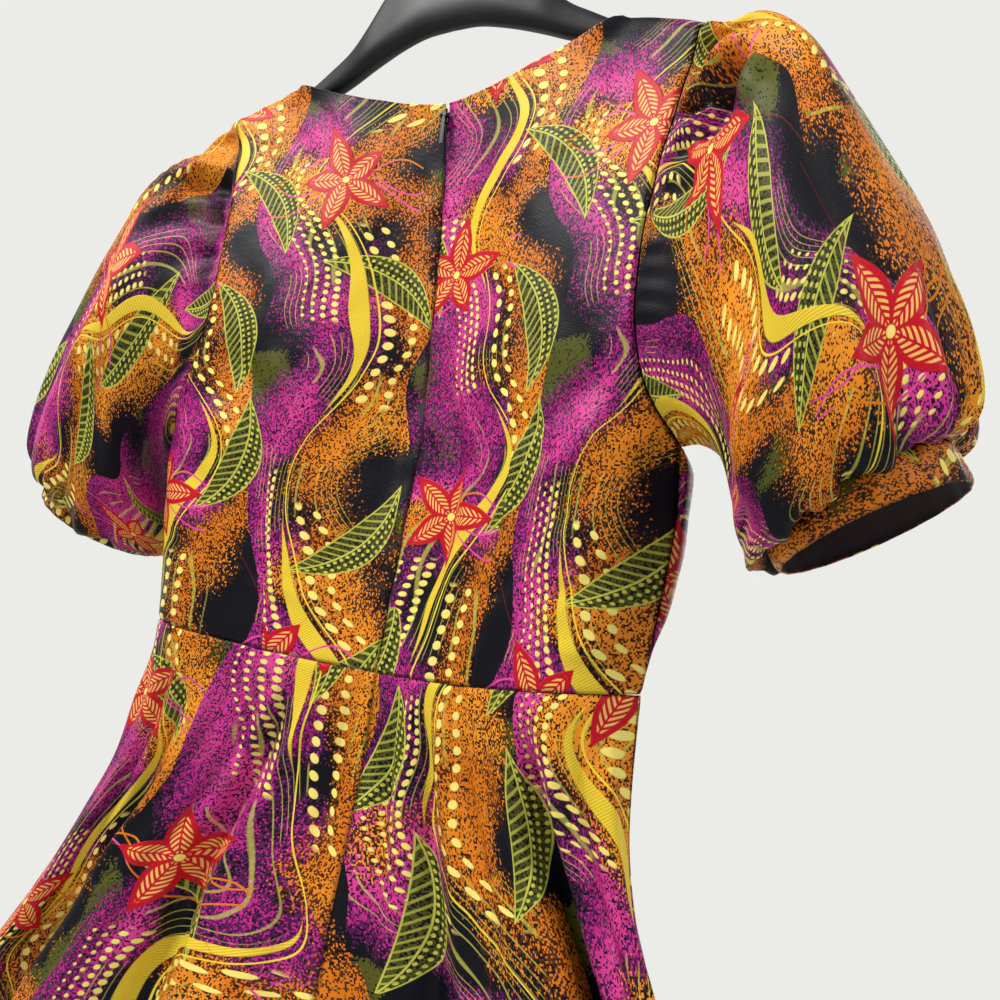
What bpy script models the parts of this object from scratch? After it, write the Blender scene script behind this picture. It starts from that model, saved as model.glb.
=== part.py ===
"""A fitted puff sleeve garment with a waist seam and a flared skirt part, on a moulded hanger.

Metres, +Z up, -Y is the garment's back, +X is the wearer's right. The origin is the inner top of
the hanger's hook. Each cut piece is one thin closed wall through section rows, worked out from
the tables below. A drop is a depth below the shoulder tips.
"""

import math

import bmesh
import bpy
import numpy as np
from mathutils import Matrix

# Driving sizes
WALL = 0.0014
SEAM_GAP = 0.0003
TIP_DROP = 0.165
HANG_Y = 0.020
NECK_HALF = 0.132
TIP_HALF = 0.183
NECK_RISE = 0.0125
CREST_Y = -0.008
CREST_ROLL = 0.014
BACK_NECK_DROP = 0.035
FRONT_NECK_DROP = 0.090
BACK_NECK_POWER = 1.5
FRONT_NECK_POWER = 2.2
WAIST_DROP = 0.400
WAIST_SAG = 0.014
UNDERARM_DROP = 0.262
SKIRT_LENGTH = 0.378

# Armhole edges. Columns: drop, x, y at the back, y at the front
ARMHOLE = [
    (0.000, 0.1830, -0.0080, -0.0080),
    (0.006, 0.1815, -0.0195, 0.0040),
    (0.035, 0.1755, -0.0260, 0.0130),
    (0.070, 0.1695, -0.0310, 0.0210),
    (0.110, 0.1645, -0.0360, 0.0290),
    (0.165, 0.1625, -0.0390, 0.0340),
    (0.208, 0.1680, -0.0380, 0.0310),
    (0.242, 0.1820, -0.0310, 0.0160),
    (0.262, 0.1970, -0.0150, -0.0150),
]
# Side seams of the bodice. Columns: drop, x, y
SIDE_SEAM = [
    (0.262, 0.1970, -0.0150),
    (0.300, 0.1980, -0.0110),
    (0.345, 0.1930, -0.0090),
    (0.400, 0.1865, -0.0080),
]
# Depth of the back. Columns: drop, y at the centre, y half way out, y near the edge
BACK_DEPTH = [
    (-0.070, -0.0220, -0.0220, -0.0220),
    (-0.005, -0.0190, -0.0215, -0.0220),
    (0.030, -0.0120, -0.0220, -0.0240),
    (0.080, -0.0060, -0.0250, -0.0300),
    (0.140, -0.0020, -0.0270, -0.0360),
    (0.200, -0.0010, -0.0290, -0.0390),
    (0.262, 0.0010, -0.0300, -0.0330),
    (0.330, -0.0040, -0.0290, -0.0290),
    (0.414, -0.0130, -0.0270, -0.0260),
]
# Depth of the front. Columns: drop, y at the centre, y half way out, y near the edge
FRONT_DEPTH = [
    (-0.070, 0.0040, 0.0040, 0.0040),
    (-0.005, 0.0060, 0.0050, 0.0050),
    (0.030, 0.0140, 0.0120, 0.0130),
    (0.080, 0.0240, 0.0230, 0.0240),
    (0.140, 0.0360, 0.0370, 0.0350),
    (0.200, 0.0460, 0.0490, 0.0370),
    (0.260, 0.0500, 0.0510, 0.0260),
    (0.330, 0.0440, 0.0430, 0.0190),
    (0.410, 0.0360, 0.0350, 0.0150),
]
DEPTH_PLACES = (0.0, 0.5, 0.9, 1.0)
# The body hangs askew on the hanger. Columns: drop, shift of x, further shift of x at the
# centre, extra drop per metre of x
DRIFT = [
    (-0.050, 0.0000, 0.0000, 0.000),
    (0.060, 0.0000, 0.0000, 0.000),
    (0.160, -0.0050, 0.0050, 0.010),
    (0.260, -0.0130, 0.0120, 0.030),
    (0.400, -0.0165, 0.0115, 0.045),
    (0.550, -0.0220, 0.0150, 0.045),
    (0.800, -0.0270, 0.0180, 0.035),
]
DRIFT_HALF = 0.190
# The left sleeve swings forwards and down. x is measured outwards.
LEFT_SLEEVE_SWING = (-0.002, 0.022, -0.012)
# The front rounds out beside its side seams, and turns in within the last share of its width.
FRONT_BULGE = 0.018
BULGE_TURN = 0.10
# Skirt sections. Columns: drop below the waist, half width, y at the sides, back, front
SKIRT = [
    (0.000, 0.1865, -0.008, -0.013, 0.036),
    (0.050, 0.1895, -0.010, -0.019, 0.040),
    (0.120, 0.2010, -0.014, -0.026, 0.045),
    (0.190, 0.2280, -0.019, -0.034, 0.050),
    (0.260, 0.2680, -0.025, -0.044, 0.055),
    (0.320, 0.3010, -0.030, -0.056, 0.059),
    (0.378, 0.3330, -0.035, -0.068, 0.063),
]
# Skirt folds. Columns: place at the waist, place at the hem, half width, height, drop where it
# starts. Places run round the ring: 0 centre back, 1 right side seam, 2 centre front, 3 left side.
FOLDS = [
    (0.22, 0.20, 0.080, -0.008, 0.010),
    (0.46, 0.44, 0.120, 0.018, 0.020),
    (0.64, 0.68, 0.070, -0.026, 0.015),
    (0.84, 0.86, 0.090, 0.014, 0.020),
    (1.30, 1.28, 0.110, -0.018, 0.030),
    (1.55, 1.56, 0.110, 0.016, 0.020),
    (1.86, 1.84, 0.100, -0.016, 0.040),
    (2.12, 2.14, 0.110, 0.018, 0.030),
    (2.42, 2.40, 0.100, -0.018, 0.020),
    (2.72, 2.70, 0.110, 0.016, 0.030),
    (3.16, 3.14, 0.080, 0.014, 0.020),
    (3.34, 3.30, 0.070, -0.014, 0.060),
    (3.52, 3.50, 0.110, 0.014, 0.030),
    (3.69, 3.64, 0.070, -0.018, 0.015),
    (3.86, 3.84, 0.080, 0.012, 0.060),
]
FOLD_GROWTH = 0.200
# Sleeve sections from the armhole to the cuff. Columns: place along the sleeve, x and drop of
# the outer side, x and drop of the inner side, y of the centre, half depth
SLEEVE = [
    (0.00, 0.1835, 0.000, 0.1980, 0.262, -0.008, 0.0380),
    (0.07, 0.1940, -0.008, 0.2040, 0.268, -0.010, 0.0460),
    (0.16, 0.2065, -0.011, 0.2110, 0.277, -0.013, 0.0560),
    (0.27, 0.2260, 0.001, 0.2170, 0.288, -0.016, 0.0650),
    (0.38, 0.2500, 0.029, 0.2190, 0.299, -0.018, 0.0720),
    (0.50, 0.2720, 0.073, 0.2200, 0.310, -0.020, 0.0770),
    (0.62, 0.2940, 0.122, 0.2220, 0.320, -0.021, 0.0780),
    (0.74, 0.3160, 0.170, 0.2260, 0.329, -0.022, 0.0750),
    (0.85, 0.3300, 0.216, 0.2280, 0.335, -0.022, 0.0690),
    (0.93, 0.3330, 0.248, 0.2300, 0.333, -0.022, 0.0610),
    (1.00, 0.3225, 0.268, 0.2330, 0.317, -0.022, 0.0490),
]
SLEEVE_BLEND = 0.42
SLEEVE_SEAM_GAP = 0.0006
SLEEVE_LEAVE = 0.10
# Pleats of the sleeve head. Columns: degrees round from the shoulder tip (back is positive),
# depth, half width in degrees
HEAD_PLEATS = [
    (8.0, -0.007, 5.0),
    (22.0, -0.014, 6.0),
    (38.0, -0.008, 6.0),
    (56.0, -0.005, 7.0),
    (-10.0, -0.007, 5.0),
    (-25.0, -0.009, 6.0),
    (-42.0, -0.006, 7.0),
]
CUFF_GATHERS = 14
GATHER_DEPTH = 0.0032
CUFF_WIDTH = 0.023
CUFF_WALL = 0.0026
CUFF_SWELL = 0.0006
# Centre back zip
ZIP_OPENING = 0.0030
ZIP_CLOSED_BELOW = 0.030
ZIP_LENGTH = 0.480
TAPE_WIDTH = 0.012
TAPE_WALL = 0.0008
TAPE_CLEARANCE = 0.0006
COIL_STEP = 0.0003
COIL_WIDTH = 0.0022
COIL_WALL = 0.0018
SLIDER_DROP = 0.034
SLIDER_SIZE = (0.0052, 0.0022, 0.0085)
EAR_WALL = 0.0008
EAR_REACH = 0.0030
EAR_HEIGHT = 0.0030
EAR_RISE = 0.0008
EAR_ROOT = 0.0008
TAB_WIDTH = 0.0030
TAB_LENGTH = 0.021
TAB_WALL = 0.0010
TAB_SET_BACK = 0.0001
BARREL_RADIUS = 0.0008
# Hanger. Columns: x, drop of the top, drop of the bottom, y of the middle, half depth
HANGER = [
    (0.000, -0.1000, -0.0290, -0.0200, 0.0100),
    (0.022, -0.0990, -0.0280, -0.0195, 0.0100),
    (0.042, -0.0860, -0.0235, -0.0180, 0.0100),
    (0.058, -0.0670, -0.0190, -0.0160, 0.0098),
    (0.070, -0.0500, -0.0150, -0.0145, 0.0092),
    (0.084, -0.0360, -0.0100, -0.0120, 0.0080),
    (0.104, -0.0240, -0.0030, -0.0095, 0.0070),
    (0.131, -0.0098, 0.0080, -0.0080, 0.0062),
    (0.156, -0.0040, 0.0150, -0.0080, 0.0060),
    (0.178, 0.0014, 0.0220, -0.0080, 0.0058),
]
HOOK_ROD = 0.0034
HOOK_INNER = 0.0180
HOOK_STEM_TOP = 0.052
HOOK_STEM_FOOT = 0.008


def smooth(value, start, end):
    """0 before start, 1 after end, an even S between."""
    t = np.clip((value - start) / (end - start), 0.0, 1.0)
    return t * t * (3.0 - 2.0 * t)


def through(keys, values, where):
    """A smooth curve through values at keys, read at where."""
    keys = np.asarray(keys, dtype=float)
    values = np.asarray(values, dtype=float)
    slopes = np.gradient(values, keys)
    where = np.clip(where, keys[0], keys[-1])
    index = int(np.clip(np.searchsorted(keys, where, side="right") - 1, 0, len(keys) - 2))
    step = keys[index + 1] - keys[index]
    t = (where - keys[index]) / step
    start = (1 + 2 * t) * (1 - t) ** 2 * values[index] + t * (1 - t) ** 2 * step * slopes[index]
    end = t * t * (3 - 2 * t) * values[index + 1] + t * t * (t - 1) * step * slopes[index + 1]
    return float(start + end)


def read(table, column, where):
    """One column of a table, read smoothly at a value of its first column."""
    return through([row[0] for row in table], [row[column] for row in table], where)


def place(x, y, drop):
    """A point in the part's frame."""
    return np.array((x, y + HANG_Y, -TIP_DROP - drop))


def hung(grid, hold=1.0):
    """The grid with the body's drift; hold scales it row by row."""
    drops = -grid[..., 2] - TIP_DROP
    whole, centre, slope = (
        np.array([[read(DRIFT, column, drop) for drop in row] for row in drops])
        for column in (1, 2, 3)
    )
    hold = np.asarray(hold).reshape(-1, 1)
    inwards = 1.0 - smooth(np.abs(grid[..., 0]), 0.0, DRIFT_HALF)
    moved = grid.copy()
    moved[..., 0] += hold * (whole + centre * inwards)
    moved[..., 2] -= hold * slope * grid[..., 0]
    return moved


# Bodice


def crest_drop(x):
    """The line over the hanger arms, carried on to the centre."""
    return -NECK_RISE * (TIP_HALF - abs(x)) / (TIP_HALF - NECK_HALF)


def top_drop(x, neck_drop, power):
    """The upper edge of a panel: neckline, then shoulder seam."""
    if abs(x) >= NECK_HALF:
        return crest_drop(x)
    return -NECK_RISE + neck_drop * (1.0 - (abs(x) / NECK_HALF) ** power)


def waist_drop(u):
    """The waist seam, which sags towards the centre."""
    return WAIST_DROP + WAIST_SAG * (1.0 - abs(u) ** 1.8)


def edge_point(drop, side):
    """x and y of a panel's outer edge. side is 2 for the back and 3 for the front."""
    if drop <= UNDERARM_DROP:
        return read(ARMHOLE, 1, drop), read(ARMHOLE, side, drop)
    return read(SIDE_SEAM, 1, drop), read(SIDE_SEAM, 2, drop)


def panel_depth(u, drop, edge_y, depths, crest):
    """y across a panel, from the centre (u = 0) to its edge (u = 1)."""
    values = [read(depths, column, drop) for column in (1, 2, 3)] + [edge_y]
    roll = min(max((drop - crest) / CREST_ROLL, 0.0), 1.0)
    over = math.sqrt(1.0 - (1.0 - roll) ** 2)
    for index in range(3):
        values[index] = CREST_Y + (values[index] - CREST_Y) * over
    keys = (-DEPTH_PLACES[1],) + DEPTH_PLACES
    return through(keys, [values[1]] + values, abs(u))


def zip_parting(drop):
    """Half the gap at the centre back: parted above the slider, shut below it."""
    top = BACK_NECK_DROP - NECK_RISE
    shut = float(smooth(drop, top, top + ZIP_CLOSED_BELOW))
    return SEAM_GAP / 2 + (ZIP_OPENING / 2) * (1.0 - shut)


def back_point(u, edge_drop):
    """A point of the back bodice's outside; u from 0 at the centre to 1 at the edge."""
    tip, waist = crest_drop(TIP_HALF), waist_drop(1.0)
    top = top_drop(u * TIP_HALF, BACK_NECK_DROP, BACK_NECK_POWER)
    share = (edge_drop - tip) / (waist - tip)
    drop = top + share * (waist_drop(u) - top)
    edge_x, edge_y = edge_point(edge_drop, 2)
    start = zip_parting(drop)
    x = start + u * (edge_x - start)
    y = panel_depth(u, drop, edge_y, BACK_DEPTH, crest_drop(u * TIP_HALF))
    return x, y, drop


def front_point(u, edge_drop):
    """A point of the front bodice's outside; u from -1 at the left edge to 1 at the right."""
    tip, waist = crest_drop(TIP_HALF), waist_drop(1.0)
    top = top_drop(u * TIP_HALF, FRONT_NECK_DROP, FRONT_NECK_POWER)
    share = (edge_drop - tip) / (waist - tip)
    drop = top + share * (waist_drop(u) - top)
    edge_x, edge_y = edge_point(edge_drop, 3)
    bulge = FRONT_BULGE * float(smooth(abs(u), 0.60, 0.90))
    bulge *= math.sqrt(min((1.0 - abs(u)) / BULGE_TURN, 1.0))
    bulge *= float(smooth(drop, 0.245, 0.275) * (1.0 - smooth(drop, 0.34, 0.41)))
    x = u * edge_x + math.copysign(bulge, u)
    y = panel_depth(u, drop, edge_y + SEAM_GAP, FRONT_DEPTH, crest_drop(u * TIP_HALF))
    return x, y, drop


ARM_ROWS = (0.0, 0.0007, 0.0025, 0.006, 0.012, 0.024, 0.045, 0.072, 0.102, 0.134, 0.168)
ARM_ROWS += (0.204, 0.237)
SIDE_ROWS = (0.262, 0.290, 0.322, 0.360, 0.400)
BODICE_ROWS = ARM_ROWS + SIDE_ROWS
NECK_PLACE = NECK_HALF / TIP_HALF
PANEL_PLACES = (0.0, 0.10, 0.22, 0.35, 0.48, 0.59, 0.65, 0.682)
PANEL_PLACES += (NECK_PLACE, 0.80, 0.90, 0.96, 1.0)


def grid_normals(points, closed):
    """Outward unit normals of a grid whose columns run so that row x column turns outwards."""
    if closed:
        across = np.roll(points, -1, axis=1) - np.roll(points, 1, axis=1)
    else:
        across = np.gradient(points, axis=1)
    down = np.gradient(points, axis=0)
    normals = np.cross(down, across)
    return normals / np.linalg.norm(normals, axis=2, keepdims=True)


def level(vectors, axis):
    """Unit vectors with one axis taken out, so that two panels share a seam's direction."""
    flat = vectors.copy()
    flat[..., axis] = 0.0
    return flat / np.linalg.norm(flat, axis=-1, keepdims=True)


# Solids


def material(name, colour, roughness, metallic=0.0):
    """One plain Principled material."""
    made = bpy.data.materials.new(name)
    made.use_nodes = True
    shader = made.node_tree.nodes["Principled BSDF"]
    shader.inputs["Base Color"].default_value = (*colour, 1.0)
    shader.inputs["Roughness"].default_value = roughness
    shader.inputs["Metallic"].default_value = metallic
    return made


def add_mesh(name, mesh, look, collection):
    """An object of its own in the garment's collection."""
    mesh.materials.append(look)
    made = bpy.data.objects.new(name, mesh)
    collection.objects.link(made)
    return made


def wall(name, outer, normals, thickness, closed, look, collection):
    """A closed thin wall: the outer grid, the same grid moved in, and their rims."""
    inner = outer - normals * np.asarray(thickness).reshape(1, -1, 1)
    rows, columns = outer.shape[:2]
    form = bmesh.new()
    skins = []
    for skin in (outer, inner):
        skins.append([[form.verts.new(point) for point in row] for row in skin])
    outside, inside = skins
    spans = columns if closed else columns - 1
    for row in range(rows - 1):
        for column in range(spans):
            beside = (column + 1) % columns
            a, b = outside[row][column], outside[row][beside]
            c, d = outside[row + 1][beside], outside[row + 1][column]
            form.faces.new((a, d, c, b))
            a, b = inside[row][column], inside[row][beside]
            c, d = inside[row + 1][beside], inside[row + 1][column]
            form.faces.new((a, b, c, d))
    for column in range(spans):
        beside = (column + 1) % columns
        first = (outside[0][column], outside[0][beside], inside[0][beside], inside[0][column])
        form.faces.new(first)
        last = (outside[-1][beside], outside[-1][column], inside[-1][column], inside[-1][beside])
        form.faces.new(last)
    if not closed:
        for row in range(rows - 1):
            below = row + 1
            form.faces.new((outside[below][0], outside[row][0], inside[row][0], inside[below][0]))
            near, far = outside[row][-1], outside[below][-1]
            form.faces.new((near, far, inside[below][-1], inside[row][-1]))
    mesh = bpy.data.meshes.new(name)
    bmesh.ops.triangulate(form, faces=form.faces)
    bmesh.ops.recalc_face_normals(form, faces=form.faces)
    if form.calc_volume(signed=True) < 0.0:
        bmesh.ops.reverse_faces(form, faces=form.faces)
    form.to_mesh(mesh)
    form.free()
    mesh.shade_smooth()
    return add_mesh(name, mesh, look, collection)


def back_bodice():
    """Outer grid and normals of the right back half."""
    grid = []
    for edge_drop in BODICE_ROWS:
        row = [back_point(u, edge_drop) for u in PANEL_PLACES]
        grid.append([place(x, y, drop) for x, y, drop in row])
    grid = np.array(grid)
    normals = grid_normals(grid, False)
    normals[:, 0] = level(normals[:, 0], 0)
    shoulder = PANEL_PLACES.index(NECK_PLACE)
    normals[0, shoulder:] = (0.0, 0.0, 1.0)
    below_arm = len(ARM_ROWS)
    normals[below_arm:, -1] = level(normals[below_arm:, -1], 1)
    grid[0, shoulder:, 1] -= SEAM_GAP / 2
    grid[below_arm:, -1, 1] -= SEAM_GAP / 2
    return grid, normals


def front_bodice():
    """Outer grid and normals of the front."""
    places = [-u for u in reversed(PANEL_PLACES[1:])] + list(PANEL_PLACES)
    places.reverse()
    grid = []
    for edge_drop in BODICE_ROWS:
        row = [front_point(u, edge_drop) for u in places]
        grid.append([place(x, y, drop) for x, y, drop in row])
    grid = np.array(grid)
    normals = grid_normals(grid, False)
    below_arm = len(ARM_ROWS)
    for edge in (0, -1):
        normals[below_arm:, edge] = level(normals[below_arm:, edge], 1)
    ends = len(PANEL_PLACES) - PANEL_PLACES.index(NECK_PLACE)
    for part in (slice(0, ends), slice(-ends, None)):
        normals[0, part] = (0.0, 0.0, 1.0)
        grid[0, part, 1] = place(0.0, CREST_Y + SEAM_GAP / 2, 0.0)[1]
    return grid, normals


def mirrored(grid, normals, side):
    """The grid as it is, or its mirror image with the columns' order turned."""
    if side > 0:
        return grid, normals
    flip = np.array((-1.0, 1.0, 1.0))
    return grid[:, ::-1] * flip, normals[:, ::-1] * flip


# Skirt


def ring_direction(u):
    """The plan direction of a place on the skirt's ring: 0 back, 1 right, 2 front, 3 left."""
    angle = u * math.pi / 2
    return math.sin(angle), -math.cos(angle)


def fold_height(u, drop):
    """How far the folds lift or sink the skirt there."""
    total = 0.0
    for waist_u, hem_u, width, height, start in FOLDS:
        centre = waist_u + (hem_u - waist_u) * drop / SKIRT_LENGTH
        away = (u - centre + 2.0) % 4.0 - 2.0
        grown = float(smooth(drop, start, start + FOLD_GROWTH))
        total += height * grown * math.exp(-((away / width) ** 2))
    return total


def waist_point(u):
    """The bodice's lower edge at a place on the ring."""
    across = abs((u + 2.0) % 4.0 - 2.0)
    side = 1.0 if u <= 2.0 else -1.0
    if across <= 1.0:
        x, y, drop = back_point(across, waist_drop(1.0))
        return side * x, y, drop
    x, y, drop = front_point(2.0 - across, waist_drop(1.0))
    return side * x, y, drop


def skirt_point(u, down):
    """A point of the skirt's outside; down is the drop below the waist seam."""
    x, y, drop = waist_point(u)
    ring_x, ring_y = ring_direction(u)
    half = read(SKIRT, 1, down)
    side_y = read(SKIRT, 2, down)
    reach = side_y - read(SKIRT, 3, down) if ring_y < 0 else read(SKIRT, 4, down) - side_y
    lift = fold_height(u, down)
    long_way = np.array((ring_x / half, ring_y / max(reach, 0.02)))
    out = long_way / np.linalg.norm(long_way)
    plan_x = math.copysign(abs(ring_x) ** 0.92, ring_x)
    plan_y = math.copysign(abs(ring_y) ** 0.8, ring_y)
    blend = float(smooth(down, 0.0, 0.16))
    x += blend * (plan_x * half - x) + lift * out[0]
    y += blend * (side_y + plan_y * reach - y) + lift * out[1]
    return x, y, drop + down


SKIRT_ROWS = (0.0, 0.020, 0.045, 0.075, 0.108, 0.143, 0.180, 0.218, 0.257, 0.297, 0.338, 0.378)
SKIRT_HALF = 17
SKIRT_FRONT = 31


def skirt_grid(start, end, columns):
    """Outer grid and normals of a skirt panel between two places on the ring."""
    places = np.linspace(start, end, columns)
    grid = []
    for down in SKIRT_ROWS:
        row = [skirt_point(u, down) for u in places]
        grid.append([place(x, y, drop + SEAM_GAP) for x, y, drop in row])
    grid = np.array(grid)
    normals = grid_normals(grid, False)
    for column, place_u, inwards in ((0, start, 1.0), (-1, end, -1.0)):
        if place_u % 2.0 == 1.0:
            normals[:, column] = level(normals[:, column], 1)
            turn = 1.0 if place_u % 4.0 == 1.0 else -1.0
            grid[:, column, 1] += turn * inwards * SEAM_GAP / 2
        else:
            normals[:, column] = level(normals[:, column], 0)
            grid[:, column, 0] = inwards * SEAM_GAP / 2
    return grid, normals


# Sleeves


def armhole_loop(back, back_normals, front, front_normals):
    """The right armhole's edge, tip, back, underarm, front: points, normals, way outwards."""
    count = len(ARM_ROWS) + 1
    loop, looks, ways = [], [], []
    for grid, normals, edge, beside in (
        (back, back_normals, -1, -2),
        (front, front_normals, 0, 1),
    ):
        points = grid[:count, edge]
        way = points - grid[:count, beside]
        along = np.gradient(points, axis=0)
        along /= np.linalg.norm(along, axis=1, keepdims=True)
        way -= along * np.sum(way * along, axis=1, keepdims=True)
        way /= np.linalg.norm(way, axis=1, keepdims=True)
        loop.append(points)
        looks.append(normals[:count, edge])
        ways.append(way)
    joined = []
    for back_part, front_part in (loop, looks, ways):
        tip = (back_part[0] + front_part[0]) / 2
        under = (back_part[-1] + front_part[-1]) / 2
        joined.append(np.vstack((tip, back_part[1:-1], under, front_part[-2:0:-1])))
    return joined


def between(values):
    """A closed loop with a midpoint added on each span."""
    halves = (values + np.roll(values, -1, axis=0)) / 2
    return np.stack((values, halves), axis=1).reshape(-1, values.shape[1])


def loop_angles(loop, under_index):
    """Degrees round the loop by arc length: 0 at the tip, 180 at the underarm."""
    spans = np.linalg.norm(np.roll(loop, -1, axis=0) - loop, axis=1)
    back = np.concatenate(([0.0], np.cumsum(spans[:under_index])))
    front = np.concatenate(([0.0], np.cumsum(spans[under_index:])))
    return np.concatenate((back / back[-1], 1.0 + front[1:-1] / front[-1])) * 180.0


SLEEVE_ROWS = (0.0, 0.04, 0.11, 0.20, 0.31, 0.44, 0.58, 0.71, 0.82, 0.91, 0.96, 1.0)


def sleeve_ring(along, degrees):
    """A point of a sleeve section."""
    outer_x, outer_drop, inner_x, inner_drop, centre_y, half_depth = (
        read(SLEEVE, column, along) for column in range(1, 7)
    )
    turn = math.radians(degrees)
    middle = place((outer_x + inner_x) / 2, centre_y, (outer_drop + inner_drop) / 2)
    up = place(outer_x, centre_y, outer_drop) - middle
    return middle + up * math.cos(turn) + np.array((0.0, -half_depth * math.sin(turn), 0.0))


def sleeve_lift(along, degrees):
    """Pleats at the head and gathers at the cuff."""
    lift = 0.0
    head = float(smooth(along, 0.02, 0.12) * (1.0 - smooth(along, 0.16, 0.46)))
    for centre, depth, width in HEAD_PLEATS:
        away = (degrees - centre + 180.0) % 360.0 - 180.0
        lift += depth * head * math.exp(-((away / width) ** 2))
    gathered = float(smooth(along, 0.62, 0.90) * (1.0 - smooth(along, 0.95, 1.02)))
    lift += GATHER_DEPTH * gathered * math.cos(math.radians(CUFF_GATHERS * degrees))
    return lift


def sleeve_grid(loop, looks, ways, angles):
    """Outer grid and normals of the right sleeve."""
    start = loop + ways * SLEEVE_SEAM_GAP
    grid = []
    for along in SLEEVE_ROWS:
        blend = float(smooth(along, 0.0, SLEEVE_BLEND))
        row = []
        for point, way, degrees in zip(start, ways, angles):
            leaving = point + way * (SLEEVE_LEAVE * along)
            row.append(leaving * (1.0 - blend) + sleeve_ring(along, degrees) * blend)
        grid.append(row)
    grid = np.array(grid)
    normals = -grid_normals(grid, True)
    for index, along in enumerate(SLEEVE_ROWS):
        lifts = np.array([sleeve_lift(along, degrees) for degrees in angles])
        grid[index] += normals[index] * lifts[:, None]
    normals = -grid_normals(grid, True)
    normals[0] = looks
    axis, middle = cuff_axis()
    outwards = grid[-1] - middle
    outwards -= np.outer(outwards @ axis, axis)
    normals[-1] = outwards / np.linalg.norm(outwards, axis=1, keepdims=True)
    return grid, normals


def cuff_axis():
    """The direction in which the right cuff faces, and the middle of its upper edge."""
    last = SLEEVE[-1]
    outer = place(last[1], last[5], last[2])
    inner = place(last[3], last[5], last[4])
    across = (outer - inner) / np.linalg.norm(outer - inner)
    return np.cross((0.0, 1.0, 0.0), across), (outer + inner) / 2


def cuff_grid(sleeve, normals):
    """Outer grid and normals of the right cuff band, below the sleeve's last row."""
    axis = cuff_axis()[0]
    rows = []
    for width in (0.0, CUFF_WIDTH / 2, CUFF_WIDTH):
        swell = CUFF_SWELL * math.sin(math.pi * width / CUFF_WIDTH)
        rows.append(sleeve[-1] + axis * (SEAM_GAP + width) + normals[-1] * swell)
    return np.array(rows), np.repeat(normals[-1:], len(rows), axis=0)


# Zip


def centre_back(drop):
    """y of the outside at the centre back, on the bodice and on the skirt."""
    waist = waist_drop(0.0)
    if drop <= waist:
        top = top_drop(0.0, BACK_NECK_DROP, BACK_NECK_POWER)
        share = (drop - top) / (waist - top)
        tip = crest_drop(TIP_HALF)
        return back_point(0.0, tip + share * (waist_drop(1.0) - tip))[1]
    return skirt_point(0.0, drop - waist)[1]


def zip_tape_grid(side):
    """The zip tape with its coil: a strip inside the centre back edge."""
    top = BACK_NECK_DROP - NECK_RISE + 0.002
    drops = np.linspace(top, top + ZIP_LENGTH, 30)
    clearance = WALL + TAPE_CLEARANCE
    rows = []
    for drop in drops:
        y = centre_back(drop) + clearance
        start = zip_parting(drop)
        reach = (0.0, COIL_WIDTH, COIL_WIDTH + COIL_STEP, TAPE_WIDTH)
        rows.append([place(start + x, y, drop) for x in reach])
    grid = np.array(rows)
    normals = level(grid_normals(grid, False), 0)
    thickness = (COIL_WALL, COIL_WALL, TAPE_WALL, TAPE_WALL)
    if side < 0:
        grid, normals = mirrored(grid, normals, side)
        thickness = thickness[::-1]
    return grid, normals, thickness


def boxed(name, size, centre, look, collection, bevel=0.0):
    """A box with slightly rounded edges."""
    form = bmesh.new()
    bmesh.ops.create_cube(form, size=1.0, matrix=Matrix.Diagonal((*size, 1.0)))
    mesh = bpy.data.meshes.new(name)
    form.to_mesh(mesh)
    form.free()
    made = add_mesh(name, mesh, look, collection)
    made.location = centre
    if bevel:
        rounding = made.modifiers.new("Rounding", "BEVEL")
        rounding.width = bevel
        rounding.segments = 1
    return made


def joined_to(target, others):
    """The others fused to the target with exact unions, in their order."""
    for other in others:
        union = target.modifiers.new("Join " + other.name, "BOOLEAN")
        union.operation = "UNION"
        union.solver = "EXACT"
        union.object = other


def zip_slider(look, collection, cutters):
    """The slider on the outside of the centre back seam, with two ears for the pull."""
    width, thickness, height = SLIDER_SIZE
    ends = (SLIDER_DROP - height / 2, SLIDER_DROP + height / 2)
    face = min(centre_back(drop) for drop in ends) - 1.5 * SEAM_GAP
    middle = place(0.0, face - thickness / 2, SLIDER_DROP)
    body = boxed("zip_slider", (width, thickness, height), middle, look, collection, 0.0004)
    ears = []
    for side in (-1.0, 1.0):
        ear_x = side * (width / 2 - EAR_WALL / 2)
        ear_y = -thickness / 2 - EAR_REACH / 2 + EAR_ROOT / 2
        ear_middle = middle + np.array((ear_x, ear_y, EAR_RISE))
        size = (EAR_WALL, EAR_REACH + EAR_ROOT, EAR_HEIGHT)
        ear = boxed("ear", size, ear_middle, look, cutters)
        ear.hide_render = True
        ear.display_type = "WIRE"
        ears.append(ear)
    joined_to(body, ears)
    return middle, thickness


def zip_pull(middle, thickness, look, collection, cutters):
    """The pull tab: a barrel between the ears and a long plate hanging from it."""
    axis_at = middle + np.array((0.0, -thickness / 2 - SEAM_GAP - BARREL_RADIUS, EAR_RISE))
    form = bmesh.new()
    sideways = Matrix.Rotation(math.pi / 2, 4, "Y")
    bmesh.ops.create_cone(
        form,
        cap_ends=True,
        segments=12,
        radius1=BARREL_RADIUS,
        radius2=BARREL_RADIUS,
        depth=TAB_WIDTH,
        matrix=sideways,
    )
    mesh = bpy.data.meshes.new("zip_pull")
    form.to_mesh(mesh)
    form.free()
    barrel = add_mesh("zip_pull", mesh, look, collection)
    barrel.location = axis_at
    plate_middle = axis_at + np.array((0.0, -TAB_SET_BACK, -TAB_LENGTH / 2))
    plate = boxed("plate", (TAB_WIDTH, TAB_WALL, TAB_LENGTH), plate_middle, look, cutters, 0.0003)
    plate.hide_render = True
    plate.display_type = "WIRE"
    joined_to(barrel, [plate])
    return barrel


# Hanger


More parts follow.
